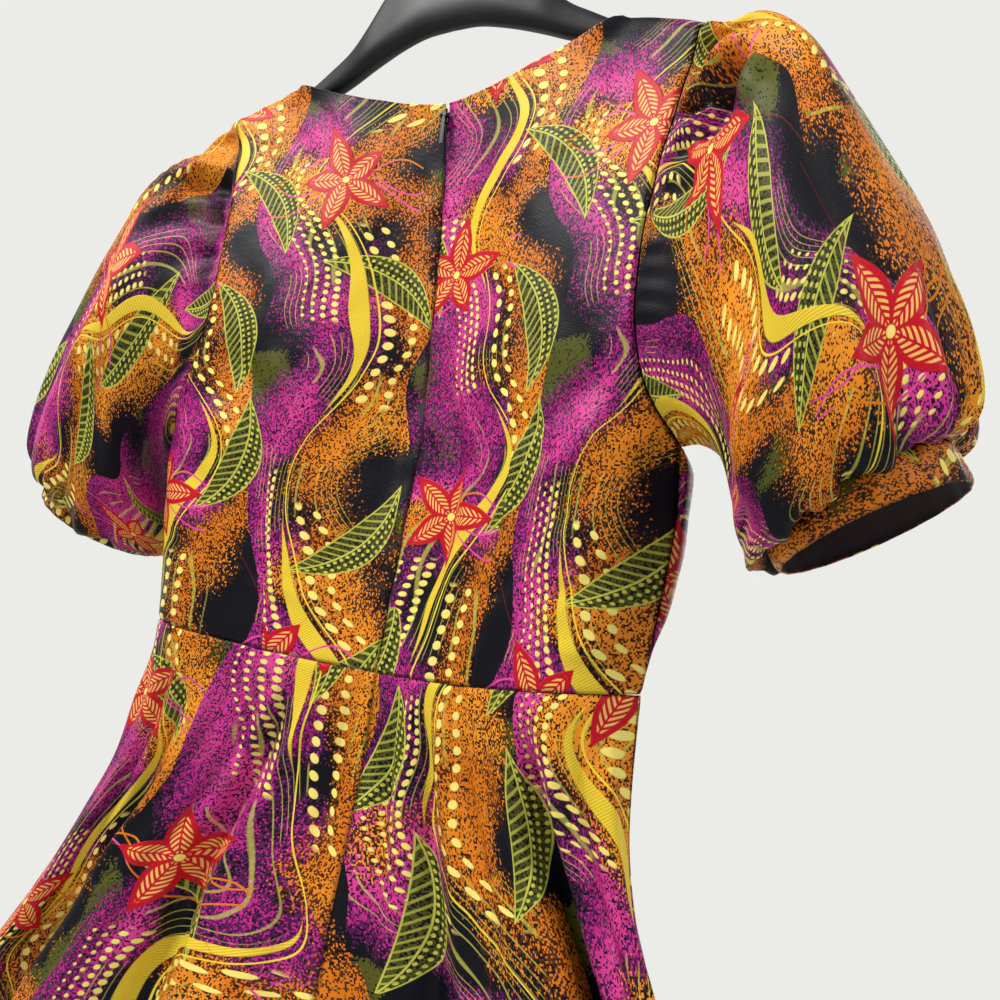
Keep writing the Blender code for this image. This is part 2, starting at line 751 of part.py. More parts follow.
def hanger_body(look, collection):
    """The moulded hanger: sections along its arms, closed at both ends."""
    steps = 16
    half = [row[0] for row in HANGER]
    stations = sorted({-x for x in half} | set(half))
    form = bmesh.new()
    rings = []
    for x in stations:
        top, bottom, y, depth = (read(HANGER, column, abs(x)) for column in range(1, 5))
        ring = []
        for step in range(steps):
            turn = 2 * math.pi * step / steps
            across = math.copysign(abs(math.sin(turn)) ** 0.75, math.sin(turn))
            upright = math.copysign(abs(math.cos(turn)) ** 0.75, math.cos(turn))
            middle, height = (top + bottom) / 2, (bottom - top) / 2
            point = place(x, y + depth * across, middle - height * upright)
            ring.append(form.verts.new(point))
        rings.append(ring)
    for first, second in zip(rings, rings[1:]):
        for step in range(steps):
            beside = (step + 1) % steps
            form.faces.new((first[step], first[beside], second[beside], second[step]))
    form.faces.new(rings[0][::-1])
    form.faces.new(rings[-1])
    bmesh.ops.triangulate(form, faces=form.faces)
    bmesh.ops.recalc_face_normals(form, faces=form.faces)
    mesh = bpy.data.meshes.new("hanger_body")
    form.to_mesh(mesh)
    form.free()
    mesh.shade_smooth()
    return add_mesh("hanger_body", mesh, look, collection)


def hanger_hook(look, collection):
    """The hook: a stem from the hanger's top, bent round the rail's place."""
    radius = HOOK_INNER + HOOK_ROD
    centre_z = -HOOK_INNER
    foot = place(0.0, 0.0, HANGER[0][1])[2] + SEAM_GAP
    path = [(0.0, foot), (0.0, foot + HOOK_STEM_FOOT), (0.0, -HOOK_STEM_TOP)]
    for degrees in range(-65, 201, 14):
        turn = math.radians(degrees)
        path.append((radius * math.cos(turn), centre_z + radius * math.sin(turn)))
    curve = bpy.data.curves.new("hanger_hook", "CURVE")
    curve.dimensions = "3D"
    curve.bevel_depth = HOOK_ROD
    curve.bevel_resolution = 2
    curve.use_fill_caps = True
    spline = curve.splines.new("POLY")
    spline.points.add(len(path) - 1)
    for point, (x, z) in zip(spline.points, path):
        point.co = (x, 0.0, z, 1.0)
    guide = bpy.data.objects.new("hook_guide", curve)
    collection.objects.link(guide)
    evaluated = guide.evaluated_get(bpy.context.evaluated_depsgraph_get())
    mesh = bpy.data.meshes.new_from_object(evaluated)
    bpy.data.objects.remove(guide)
    form = bmesh.new()
    form.from_mesh(mesh)
    bmesh.ops.remove_doubles(form, verts=form.verts, dist=0.00001)
    bmesh.ops.recalc_face_normals(form, faces=form.faces)
    form.to_mesh(mesh)
    form.free()
    mesh.materials.clear()
    return add_mesh("hanger_hook", mesh, look, collection)


def build():
    """Makes every piece."""
    for old in list(bpy.data.objects):
        bpy.data.objects.remove(old)
    garment = bpy.data.collections.new("babydoll_blouse_on_hanger")
    cutters = bpy.data.collections.new("cutters")
    for made in (garment, cutters):
        bpy.context.scene.collection.children.link(made)

    orange = (0.66, 0.24, 0.02)
    plum = (0.30, 0.03, 0.22)
    back, back_normals = back_bodice()
    for name, side in (("bodice_back_right", 1), ("bodice_back_left", -1)):
        grid, normals = mirrored(back, back_normals, side)
        wall(name, hung(grid), normals, WALL, False, material(name, orange, 0.5), garment)
    front, front_normals = front_bodice()
    look = material("bodice_front", orange, 0.5)
    wall("bodice_front", hung(front), front_normals, WALL, False, look, garment)

    for name, start, end, columns in (
        ("skirt_back_right", 0.0, 1.0, SKIRT_HALF),
        ("skirt_front", 1.0, 3.0, SKIRT_FRONT),
        ("skirt_back_left", 3.0, 4.0, SKIRT_HALF),
    ):
        grid, normals = skirt_grid(start, end, columns)
        wall(name, hung(grid), normals, WALL, False, material(name, plum, 0.5), garment)

    loop, looks, ways = armhole_loop(back, back_normals, front, front_normals)
    loop, looks, ways = between(loop), between(looks), between(ways)
    looks /= np.linalg.norm(looks, axis=1, keepdims=True)
    ways /= np.linalg.norm(ways, axis=1, keepdims=True)
    angles = loop_angles(loop, 2 * len(ARM_ROWS))
    sleeve, sleeve_normals = sleeve_grid(loop, looks, ways, angles)
    cuff, cuff_normals = cuff_grid(sleeve, sleeve_normals)
    free = smooth(np.array(SLEEVE_ROWS), 0.0, 0.5)
    for name, side, swing in (("right", 1, (0.0, 0.0, 0.0)), ("left", -1, LEFT_SLEEVE_SWING)):
        moved = sleeve + free[:, None, None] * np.array(swing)
        grid, normals = mirrored(moved, sleeve_normals, side)
        look = material("sleeve_" + name, orange, 0.5)
        wall("sleeve_" + name, hung(grid, 1.0 - free), normals, WALL, True, look, garment)
        grid, normals = mirrored(cuff + np.array(swing), cuff_normals, side)
        look = material("cuff_" + name, plum, 0.5)
        wall("cuff_" + name, grid, normals, CUFF_WALL, True, look, garment)
        grid, normals, thickness = zip_tape_grid(side)
        look = material("zip_tape_" + name, (0.02, 0.02, 0.03), 0.7)
        wall("zip_tape_" + name, hung(grid), normals, thickness, False, look, garment)

    metal = material("zip_metal", (0.12, 0.12, 0.13), 0.35, 0.9)
    middle, thickness = zip_slider(metal, garment, cutters)
    zip_pull(middle, thickness, material("zip_pull", (0.12, 0.12, 0.13), 0.35, 0.9), garment, cutters)
    plastic = (0.03, 0.033, 0.036)
    hanger_body(material("hanger_body", plastic, 0.5), garment)
    hanger_hook(material("hanger_hook", plastic, 0.5), garment)


build()
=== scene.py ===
"""Looks for the puff sleeve garment on its hanger: cloth shells, jacquard, zip, hanger and light.

Metres, +Z up, -Y is the garment's back. The cloth's surfaces repeat the tables that the solids
were built from, with finer rows and the folds, creases and seams that the solids leave out.
"""

import math

import bpy
import numpy as np
from mathutils import Matrix, Vector


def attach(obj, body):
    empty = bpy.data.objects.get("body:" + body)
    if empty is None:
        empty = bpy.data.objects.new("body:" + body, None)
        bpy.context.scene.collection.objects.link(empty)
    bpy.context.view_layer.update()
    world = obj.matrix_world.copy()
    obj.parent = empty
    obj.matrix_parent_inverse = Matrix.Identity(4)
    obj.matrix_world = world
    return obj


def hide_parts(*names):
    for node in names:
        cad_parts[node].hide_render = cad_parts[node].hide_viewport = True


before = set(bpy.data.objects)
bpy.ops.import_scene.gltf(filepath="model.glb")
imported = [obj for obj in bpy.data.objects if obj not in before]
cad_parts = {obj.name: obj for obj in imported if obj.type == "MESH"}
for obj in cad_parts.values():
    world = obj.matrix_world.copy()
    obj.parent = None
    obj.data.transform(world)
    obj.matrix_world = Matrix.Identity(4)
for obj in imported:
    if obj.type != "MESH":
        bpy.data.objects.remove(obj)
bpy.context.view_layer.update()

# Tables multiplied by this are in mm, and their places on the ring or sleeve in thousandths
MILLI = 0.001
# Wall of the cloth shells made here
WALL = 0.0010
# Sizes that the solids were built from
SEAM_GAP = 0.0003
SLEEVE_SEAM_GAP = 0.0006
SLEEVE_LEAVE = 0.10
TIP_DROP = 0.165
HANG_Y = 0.020
NECK_HALF = 0.132
TIP_HALF = 0.183
NECK_RISE = 0.0125
CREST_Y = -0.008
CREST_ROLL = 0.014
BACK_NECK_DROP = 0.035
FRONT_NECK_DROP = 0.090
BACK_NECK_POWER = 1.5
FRONT_NECK_POWER = 2.2
WAIST_DROP = 0.400
WAIST_SAG = 0.014
UNDERARM_DROP = 0.262
SKIRT_LENGTH = 0.378
FRONT_BULGE = 0.018
BULGE_TURN = 0.10
FOLD_GROWTH = 0.200
SLEEVE_BLEND = 0.42
CUFF_WIDTH = 0.023
ZIP_OPENING = 0.0030
ZIP_CLOSED_BELOW = 0.030
ZIP_LENGTH = 0.480
TOOTH_PITCH = 0.0014
TOOTH_SIZE = (0.0020, 0.00042, 0.0008)
# Skirt places run round a ring of this length: 1 for each back panel and 2 for the front
RING = 4.0
# Width of a quarter of the skirt at the waist and at the hem, and depth of the turned-up hem
QUARTER_WAIST = 0.19
QUARTER_HEM = 0.36
HEM_TURN = 0.020
# Cut of a sleeve, and length of a cuff
SLEEVE_CUT = (0.56, 0.33)
CUFF_CUT = 0.31
# A cuff is cut from the cloth this far from its sleeve
CUFF_OFFSET = (0.2, 0.4)

# Armhole edges. Columns: drop, x, y at the back, y at the front
ARMHOLE = MILLI * np.array([
    (0, 183, -8, -8),
    (6, 181.5, -19.5, 4),
    (35, 175.5, -26, 13),
    (70, 169.5, -31, 21),
    (110, 164.5, -36, 29),
    (165, 162.5, -39, 34),
    (208, 168, -38, 31),
    (242, 182, -31, 16),
    (262, 197, -15, -15),
])
# Side seams of the bodice. Columns: drop, x, y
SIDE_SEAM = MILLI * np.array([
    (262, 197, -15),
    (300, 198, -11),
    (345, 193, -9),
    (400, 186.5, -8),
])
# Depth of the back. Columns: drop, y at the centre, y half way out, y near the edge
BACK_DEPTH = MILLI * np.array([
    (-70, -22, -22, -22),
    (-5, -19, -21.5, -22),
    (30, -12, -22, -24),
    (80, -6, -25, -30),
    (140, -2, -27, -36),
    (200, -1, -29, -39),
    (262, 1, -30, -33),
    (330, -4, -29, -29),
    (414, -13, -27, -26),
])
# Depth of the front. Columns: drop, y at the centre, y half way out, y near the edge
FRONT_DEPTH = MILLI * np.array([
    (-70, 4, 4, 4),
    (-5, 6, 5, 5),
    (30, 14, 12, 13),
    (80, 24, 23, 24),
    (140, 36, 37, 35),
    (200, 46, 49, 37),
    (260, 50, 51, 26),
    (330, 44, 43, 19),
    (410, 36, 35, 15),
])
DEPTH_KEYS = (-0.5, 0.0, 0.5, 0.9, 1.0)
# The body hangs askew on the hanger. Columns: drop, shift of x, further shift of x at the
# centre, extra drop per metre of x
DRIFT = MILLI * np.array([
    (-50, 0, 0, 0),
    (60, 0, 0, 0),
    (160, -5, 5, 10),
    (260, -13, 12, 30),
    (400, -16.5, 11.5, 45),
    (550, -22, 15, 45),
    (800, -27, 18, 35),
])
DRIFT_HALF = 0.190
LEFT_SLEEVE_SWING = (-0.002, 0.022, -0.012)
# Skirt sections. Columns: drop below the waist, half width, y at the sides, back, front
SKIRT = MILLI * np.array([
    (0, 186.5, -8, -13, 36),
    (50, 189.5, -10, -19, 40),
    (120, 201, -14, -26, 45),
    (190, 228, -19, -34, 50),
    (260, 268, -25, -44, 55),
    (320, 301, -30, -56, 59),
    (378, 333, -35, -68, 63),
])
# Skirt folds. Columns: place at the waist, place at the hem, half width, height, drop where it
# starts. Places on the ring: 0 centre back, 1000 right side seam, 2000 centre front, 3000 left.
FOLDS = MILLI * np.array([
    (220, 200, 80, -8, 10),
    (460, 440, 120, 18, 20),
    (640, 680, 70, -26, 15),
    (840, 860, 90, 14, 20),
    (1300, 1280, 110, -18, 30),
    (1550, 1560, 110, 16, 20),
    (1860, 1840, 100, -16, 40),
    (2120, 2140, 110, 18, 30),
    (2420, 2400, 100, -18, 20),
    (2720, 2700, 110, 16, 30),
    (3160, 3140, 80, 14, 20),
    (3340, 3300, 70, -14, 60),
    (3520, 3500, 110, 14, 30),
    (3690, 3640, 70, -18, 15),
    (3860, 3840, 80, 12, 60),
])
# Sleeve sections from the armhole to the cuff. Columns: place along the sleeve, x and drop of
# the outer side, x and drop of the inner side, y of the centre, half depth
SLEEVE = MILLI * np.array([
    (0, 183.5, 0, 198, 262, -8, 38),
    (70, 194, -8, 204, 268, -10, 46),
    (160, 206.5, -11, 211, 277, -13, 56),
    (270, 226, 1, 217, 288, -16, 65),
    (380, 250, 29, 219, 299, -18, 72),
    (500, 272, 73, 220, 310, -20, 77),
    (620, 294, 122, 222, 320, -21, 78),
    (740, 316, 170, 226, 329, -22, 75),
    (850, 330, 216, 228, 335, -22, 69),
    (930, 333, 248, 230, 333, -22, 61),
    (1000, 322.5, 268, 233, 317, -22, 49),
])
# Hanger. Columns: x, drop of the top, drop of the bottom, y of the middle, half depth
HANGER = MILLI * np.array([
    (0, -100, -29, -20, 10),
    (22, -99, -28, -19.5, 10),
    (42, -86, -23.5, -18, 10),
    (58, -67, -19, -16, 9.8),
    (70, -50, -15, -14.5, 9.2),
    (84, -36, -10, -12, 8),
    (104, -24, -3, -9.5, 7),
    (131, -9.8, 8, -8, 6.2),
    (156, -4, 15, -8, 6),
    (178, 1.4, 22, -8, 5.8),
])
HOOK_ROD = 0.0034
HOOK_INNER = 0.0180
HOOK_STEM_TOP = 0.052
HOOK_STEM_FOOT = 0.008

# Pleats of the sleeve head. Columns: degrees round from the shoulder tip (back is positive),
# depth, half width in degrees, how far along the sleeve it runs out
HEAD_PLEATS = [
    (5.0, -0.005, 3.0, 0.32),
    (24.0, -0.006, 5.0, 0.66),
    (40.0, 0.004, 4.5, 0.55),
    (49.0, -0.0095, 4.0, 0.52),
    (59.0, 0.0032, 4.0, 0.42),
    (69.0, -0.0065, 3.8, 0.42),
    (86.0, -0.0042, 4.0, 0.32),
    (-9.0, -0.007, 3.4, 0.36),
    (-17.0, 0.0045, 4.2, 0.46),
    (-28.0, -0.0105, 4.8, 0.52),
    (-43.0, -0.007, 4.4, 0.44),
    (-58.0, -0.005, 4.0, 0.36),
    (-75.0, -0.0035, 4.0, 0.3),
]
# The flatter crown of the sleeve head: depth in m, place and half width in degrees
CROWN_SINK = 0.0055
CROWN_PLACE = 12.0
CROWN_WIDTH = 25.0
# The deep tuck at the back of the sleeve head: degrees and place along the sleeve, half size
TUCK_PLACE = (58.0, 0.190)
TUCK_SIZE = (12.0, 0.085)
TUCK_DEPTH = 0.0200
TUCK_LIP = 0.0065
# Long soft folds down the sleeve. Columns: degrees at the head, degrees at the cuff, half width
# in degrees, height, start and end along the sleeve
SLEEVE_FOLDS = [
    (30.0, 44.0, 13.0, 0.0032, 0.15, 1.1),
    (58.0, 66.0, 10.0, -0.0042, 0.3, 1.1),
    (84.0, 78.0, 11.0, 0.0036, 0.25, 1.05),
    (110.0, 98.0, 9.0, -0.004, 0.2, 1.1),
    (132.0, 126.0, 10.0, 0.0038, 0.35, 1.1),
    (156.0, 150.0, 8.0, -0.0036, 0.1, 0.9),
    (-32.0, -44.0, 12.0, 0.0034, 0.2, 1.1),
    (-66.0, -62.0, 10.0, -0.004, 0.3, 1.1),
    (-96.0, -90.0, 12.0, 0.0036, 0.25, 1.1),
    (-128.0, -120.0, 9.0, -0.0036, 0.35, 1.05),
    (2.0, -6.0, 8.0, -0.0026, 0.45, 1.1),
    (16.0, 14.0, 7.0, 0.0024, 0.5, 1.1),
]
CUFF_GATHERS = 14
GATHER_DEPTH = 0.0032
FINE_GATHER_DEPTH = 0.0017
# Creases of the bodice. Columns: x and drop of one end, x and drop of the other, half width,
# height. x runs to the wearer's right, seen from the back.
BACK_CREASES = MILLI * np.array([
    (22, 215, 12, 395, 7, -3.2),
    (45, 250, 34, 390, 8, 2.2),
    (130, 50, 55, 110, 11, -1.6),
    (150, 215, 95, 262, 8, -2),
    (158, 243, 110, 292, 7.5, 1.8),
    (168, 272, 120, 315, 7, -1.4),
    (175, 330, 115, 352, 6, -1.3),
    (176, 372, 128, 380, 5, 1.2),
    (105, 345, 50, 360, 6, -1),
    (-125, 40, -50, 90, 11, -1.6),
    (-40, 130, -28, 330, 10, -2),
    (-148, 205, -100, 250, 8, -2),
    (-160, 240, -112, 286, 8, 1.8),
    (-168, 290, -125, 318, 7, -1.6),
    (-176, 345, -130, 356, 6, -1.2),
    (-100, 372, -50, 380, 5, 1),
    (-120, 130, -130, 200, 12, 1.4),
    (115, 130, 128, 190, 12, 1.4),
])
FRONT_CREASES = MILLI * np.array([
    (140, 60, 60, 130, 11, -1.8),
    (150, 225, 90, 250, 8, -2),
    (165, 262, 110, 300, 8, 1.8),
    (110, 300, 85, 395, 9, -2.2),
    (60, 290, 50, 390, 10, 1.6),
    (30, 120, 20, 260, 13, -1.6),
    (-140, 60, -60, 125, 11, -1.8),
    (-150, 222, -92, 246, 8, -2),
    (-168, 268, -112, 298, 8, 1.8),
    (-112, 305, -86, 395, 9, -2.2),
    (-50, 280, -45, 385, 10, 1.6),
    (-12, 300, 8, 392, 7, -1.4),
])
# Waist darts of the back and front. Columns: u at the waist, u at the top, drop of the top
BACK_DART = (0.425, 0.475, 0.215)
FRONT_DART = (0.470, 0.500, 0.235)
DART_TAKE = 0.022
CREASE_SCALE = 1.5
RIPPLE_SCALE = 1.3
# Faint unevenness of flat cloth
UNEVEN = 0.0005
# Minor skirt ripples. Columns: place on the ring, half width, height, start and end below waist
RIPPLES = MILLI * np.array([
    (70, 26, -4, 4, 320),
    (130, 30, 4, 10, 380),
    (220, 28, -6, 4, 340),
    (310, 30, 3.8, 4, 260),
    (410, 26, -3, 4, 200),
    (550, 34, 5, 10, 380),
    (655, 30, -8.5, 4, 420),
    (740, 26, 5.2, 6, 380),
    (840, 24, -3.6, 4, 300),
    (930, 30, 4, 10, 300),
    (1120, 40, -4.5, 10, 380),
    (1290, 34, -5, 10, 400),
    (1420, 45, 4.5, 10, 300),
    (1700, 40, -4.5, 4, 260),
    (1860, 34, -5, 6, 400),
    (1980, 45, 4.5, 10, 380),
    (2280, 40, -4.5, 6, 300),
    (2410, 32, -5, 10, 400),
    (2560, 45, 4.5, 10, 380),
    (2860, 40, -4.5, 6, 280),
    (3080, 30, 4, 10, 380),
    (3240, 28, -4.5, 4, 300),
    (3330, 26, -4.5, 10, 400),
    (3430, 32, 4.5, 10, 380),
    (3580, 26, -3.8, 4, 260),
    (3675, 26, -7.5, 4, 420),
    (3780, 32, 5, 6, 380),
    (3930, 28, -4.5, 6, 360),
])


# Reading the tables


def smooth(value, start, end):
    """0 before start, 1 after end, an even S between."""
    t = np.clip((value - start) / (end - start), 0.0, 1.0)
    return t * t * (3.0 - 2.0 * t)


def hump(value, start, full, fade, end):
    """0 up to start, 1 from full to fade, 0 from end on."""
    return smooth(value, start, full) * (1.0 - smooth(value, fade, end))


def bell(value):
    """1 at 0, falling evenly on both sides."""
    return np.exp(-(value**2))


def apart(at, centre, whole):
    """The signed way from centre to a place round a closed ring of length whole."""
    return (at - centre + whole / 2) % whole - whole / 2


def through(keys, values, where):
    """A smooth curve through values at keys, read at where; values may differ point by point."""
    keys = np.asarray(keys, dtype=float)
    values = np.asarray(values, dtype=float)
    where = np.clip(where, keys[0], keys[-1])
    slopes = np.gradient(values, keys, axis=0)
    index = np.clip(np.searchsorted(keys, where, side="right") - 1, 0, len(keys) - 2)
    step = keys[index + 1] - keys[index]
    t = (where - keys[index]) / step
    if values.ndim == 1:
        ends = [part[index + more] for part in (values, slopes) for more in (0, 1)]
    else:
        ends = [
            np.take_along_axis(part, (index + more)[None], 0)[0]
            for part in (values, slopes)
            for more in (0, 1)
        ]
    low, high, low_slope, high_slope = ends
    start = (1 + 2 * t) * (1 - t) ** 2 * low + t * (1 - t) ** 2 * step * low_slope
    return start + t * t * (3 - 2 * t) * high + t * t * (t - 1) * step * high_slope


def read(table, column, where):
    """One column of a table, read smoothly at values of its first column."""
    table = np.asarray(table)
    return through(table[:, 0], table[:, column], where)


def place(x, y, drop):
    """Points in the part's frame."""
    x, y, drop = np.broadcast_arrays(x, y, drop)
    return np.stack((x, y + HANG_Y, -TIP_DROP - drop), axis=-1)


def hung(grid, hold=1.0):
    """The grid with the body's drift; hold scales it row by row."""
    drops = -grid[..., 2] - TIP_DROP
    whole, centre, slope = (read(DRIFT, column, drops) for column in (1, 2, 3))
    hold = np.asarray(hold).reshape(-1, 1)
    inwards = 1.0 - smooth(np.abs(grid[..., 0]), 0.0, DRIFT_HALF)
    moved = grid.copy()
    moved[..., 0] += hold * (whole + centre * inwards)
    moved[..., 2] -= hold * slope * grid[..., 0]
    return moved


def grid_normals(points, closed):
    """Unit normals of a grid, by row x column."""
    if closed:
        across = np.roll(points, -1, axis=1) - np.roll(points, 1, axis=1)
    else:
        across = np.gradient(points, axis=1)
    down = np.gradient(points, axis=0)
    normals = np.cross(down, across)
    return normals / np.linalg.norm(normals, axis=2, keepdims=True)


def ridges(x, drop, table):
    """Height of soft creases, each along a line and fading at its ends."""
    total = np.zeros_like(x)
    for x0, d0, x1, d1, width, height in table:
        way = np.array((x1 - x0, d1 - d0))
        length = np.hypot(*way)
        along = ((x - x0) * way[0] + (drop - d0) * way[1]) / length
        away = ((x - x0) * way[1] - (drop - d0) * way[0]) / length
        bend = 0.12 * length * np.sin(math.pi * np.clip(along / length, 0.0, 1.0))
        share = along / length
        fade = hump(share, -0.15, 0.35, 0.65, 1.15)
        total += height * fade * bell((away - bend) / width)
    return total


# Bodice


def crest_drop(x):
    return -NECK_RISE * (TIP_HALF - np.abs(x)) / (TIP_HALF - NECK_HALF)


def top_drop(x, neck_drop, power):
    """The upper edge of a panel: neckline, then shoulder seam."""
    scoop = 1.0 - (np.minimum(np.abs(x), NECK_HALF) / NECK_HALF) ** power
    return np.where(np.abs(x) >= NECK_HALF, crest_drop(x), -NECK_RISE + neck_drop * scoop)


def waist_drop(u):
    return WAIST_DROP + WAIST_SAG * (1.0 - np.abs(u) ** 1.8)


def edge_point(drop, side):
    """x and y of a panel's outer edge. side is 2 for the back and 3 for the front."""
    arm = drop <= UNDERARM_DROP
    x = np.where(arm, read(ARMHOLE, 1, drop), read(SIDE_SEAM, 1, drop))
    y = np.where(arm, read(ARMHOLE, side, drop), read(SIDE_SEAM, 2, drop))
    return x, y


def panel_drop(u, edge_drop, neck_drop, power):
    """Drop across a panel, on the row that meets the outer edge at edge_drop."""
    tip = crest_drop(TIP_HALF)
    top = top_drop(u * TIP_HALF, neck_drop, power)
    return top + (edge_drop - tip) / (WAIST_DROP - tip) * (waist_drop(u) - top)


def panel_depth(u, drop, edge_y, depths):
    """y across a panel, from the centre (u = 0) to its edge (u = 1)."""
    roll = np.clip((drop - crest_drop(u * TIP_HALF)) / CREST_ROLL, 0.0, 1.0)
    over = np.sqrt(1.0 - (1.0 - roll) ** 2)
    values = [CREST_Y + (read(depths, column, drop) - CREST_Y) * over for column in (1, 2, 3)]
    values = np.stack([values[1], *values, edge_y + np.zeros_like(drop)])
    return through(DEPTH_KEYS, values, np.abs(u))


def zip_parting(drop):
    """Half the gap at the centre back: parted above the slider, shut below it."""
    top = BACK_NECK_DROP - NECK_RISE
    return SEAM_GAP / 2 + (ZIP_OPENING / 2) * (1.0 - smooth(drop, top, top + ZIP_CLOSED_BELOW))


def back_point(u, edge_drop):
    drop = panel_drop(u, edge_drop, BACK_NECK_DROP, BACK_NECK_POWER)
    edge_x, edge_y = edge_point(edge_drop, 2)
    start = zip_parting(drop)
    x = start + u * (edge_x - start)
    return x, panel_depth(u, drop, edge_y, BACK_DEPTH), drop


def front_point(u, edge_drop):
    drop = panel_drop(u, edge_drop, FRONT_NECK_DROP, FRONT_NECK_POWER)
    edge_x, edge_y = edge_point(edge_drop, 3)
    bulge = FRONT_BULGE * smooth(np.abs(u), 0.60, 0.90)
    bulge = bulge * np.sqrt(np.clip((1.0 - np.abs(u)) / BULGE_TURN, 0.0, 1.0))
    bulge = bulge * hump(drop, 0.245, 0.275, 0.34, 0.41)
    x = u * edge_x + np.copysign(bulge, u)
    return x, panel_depth(u, drop, edge_y + SEAM_GAP, FRONT_DEPTH), drop


def finer(values, step):
    """The values with even steps no longer than step between them."""
    out = []
    for start, end in zip(values, values[1:]):
        count = max(1, math.ceil(abs(end - start) / step))
        out += list(np.linspace(start, end, count, endpoint=False))
    return np.array(out + [values[-1]])


ARM_ROWS = finer((0.0, 0.0007, 0.0025, 0.006, 0.012, 0.024, 0.100, UNDERARM_DROP), 0.0034)
SIDE_ROWS = finer((UNDERARM_DROP, 0.380, 0.394), 0.0038)[1:]
SIDE_ROWS = np.concatenate((SIDE_ROWS, (0.396, 0.3975, 0.3987, 0.3995, WAIST_DROP)))
BODICE_ROWS = np.concatenate((ARM_ROWS, SIDE_ROWS))
DART_COLUMNS = 24


def panel_places(dart_u):
    """Columns from the centre to the edge, with one on the dart and more near the edges."""
    inner = dart_u * (0.5 - 0.5 * np.cos(math.pi * np.linspace(0.0, 1.0, DART_COLUMNS + 1)))
    rest = np.linspace(0.0, 1.0, 36)[1:]
    rest = rest - 0.13 * np.sin(2 * math.pi * rest)
    return np.concatenate((inner, dart_u + (1.0 - dart_u) * rest))


def dart_line(dart, rows):
    """u of the dart at each row, and how wide its take-up is there."""
    waist_u, top_u, top = dart
    share = np.clip((WAIST_DROP - rows) / (WAIST_DROP - top), 0.0, 1.0)
    taken = DART_TAKE / 2 * np.clip(1.0 - share, 0.0, 1.0) ** 0.8
    return waist_u + (top_u - waist_u) * share, taken


def edge_sink(distance, depth=0.0011, width=0.0020):
    """How far cloth turns in at a seam."""
    return -depth * bell(distance / width)


def bodice_half(point, dart, creases, side):
    """Grid, cloth places, seam distance and cloth shifts of one half; side 1 is the right."""
    dart_u, taken = dart_line(dart, BODICE_ROWS)
    u = np.stack([panel_places(value) for value in dart_u])
    rows = np.repeat(BODICE_ROWS[:, None], u.shape[1], axis=1)
    x, y, drop = point(u, rows)
    grid = place(x, y, drop)
    normals = grid_normals(grid, False)
    if point is front_point:
        normals = -normals
    normals[0, :] = normals[1, :]
    edge_x = edge_point(rows, 2)[0]
    dart_away = x - dart_u[:, None] * edge_x
    opened = np.clip(taken[:, None] / (DART_TAKE / 2), 0.0, 1.0)
    lift = CREASE_SCALE * ridges(side * x, drop, creases)
    lift *= smooth(drop, 0.02, 0.08) * smooth(edge_x - x, 0.0, 0.020)
    lift *= smooth(waist_drop(u) - drop, 0.0, 0.012)
    lift += UNEVEN * np.sin(side * x * 190.0 + 1.3 * side) * np.sin(drop * 140.0 + 0.7 * side)
    lift += edge_sink(dart_away, 0.0013, 0.0018) * opened
    lift += 0.0012 * bell(dart_away / 0.010) * opened
    waist_away = waist_drop(u) - drop
    lift += edge_sink(waist_away)
    lift += edge_sink(edge_x - x) * smooth(rows, 0.004, 0.03)
    if point is back_point:
        lift += edge_sink(x, 0.0009, 0.0016) * smooth(drop, 0.05, 0.08)
        lift += 0.0010 * bell((x - 0.007) / 0.0045) * smooth(drop, 0.04, 0.10)
        pucker = np.sin(drop * 210.0 + 0.8 * np.sin(drop * 70.0))
        lift += UNEVEN * pucker * bell((x - 0.008) / 0.007) * smooth(drop, 0.05, 0.1)
    grid += normals * lift[..., None]
    cloth = np.stack((side * x, drop), axis=-1)
    dart_seam = np.abs(dart_away) + (1.0 - opened) * 0.02
    centre = x if point is back_point else x + 1.0
    seam = np.minimum.reduce((waist_away, edge_x - x, centre, dart_seam))
    beyond = np.arange(u.shape[1] - 1) >= DART_COLUMNS
    shifts = side * (taken[:-1] + taken[1:])[:, None] * beyond
    return grid, cloth, seam, shifts


# Skirt


def ring_direction(u):
    angle = u * math.pi / 2
    return np.sin(angle), -np.cos(angle)


def fold_height(u, drop):
    """How far the folds lift or sink the skirt there."""
    total = np.zeros_like(u)
    for waist_u, hem_u, width, height, start in FOLDS:
        centre = waist_u + (hem_u - waist_u) * drop / SKIRT_LENGTH
        grown = smooth(drop, start, start + FOLD_GROWTH)
        total += height * grown * bell(apart(u, centre, RING) / width)
    return total


def ripple_height(u, drop):
    """The minor folds, which start at the waist seam and wander a little."""
    total = np.zeros_like(u)
    for at, width, height, start, end in RIPPLES:
        centre = at + 0.012 * np.sin(drop * 17.0 + at * 9.0)
        grown = hump(drop, start, start + 0.05, end - 0.10, end + 0.02)
        total += height * grown * bell(apart(u, centre, RING) / width)
    return total


def waist_point(u):
    """The bodice's lower edge at places on the ring."""
    across = np.abs(apart(u, 0.0, RING))
    side = np.where(u <= 2.0, 1.0, -1.0)
    rows = np.full_like(u, WAIST_DROP)
    back = back_point(np.minimum(across, 1.0), rows)
    front = front_point(np.clip(2.0 - across, 0.0, 1.0), rows)
    x, y, drop = (np.where(across <= 1.0, b, f) for b, f in zip(back, front))
    return side * x, y, drop


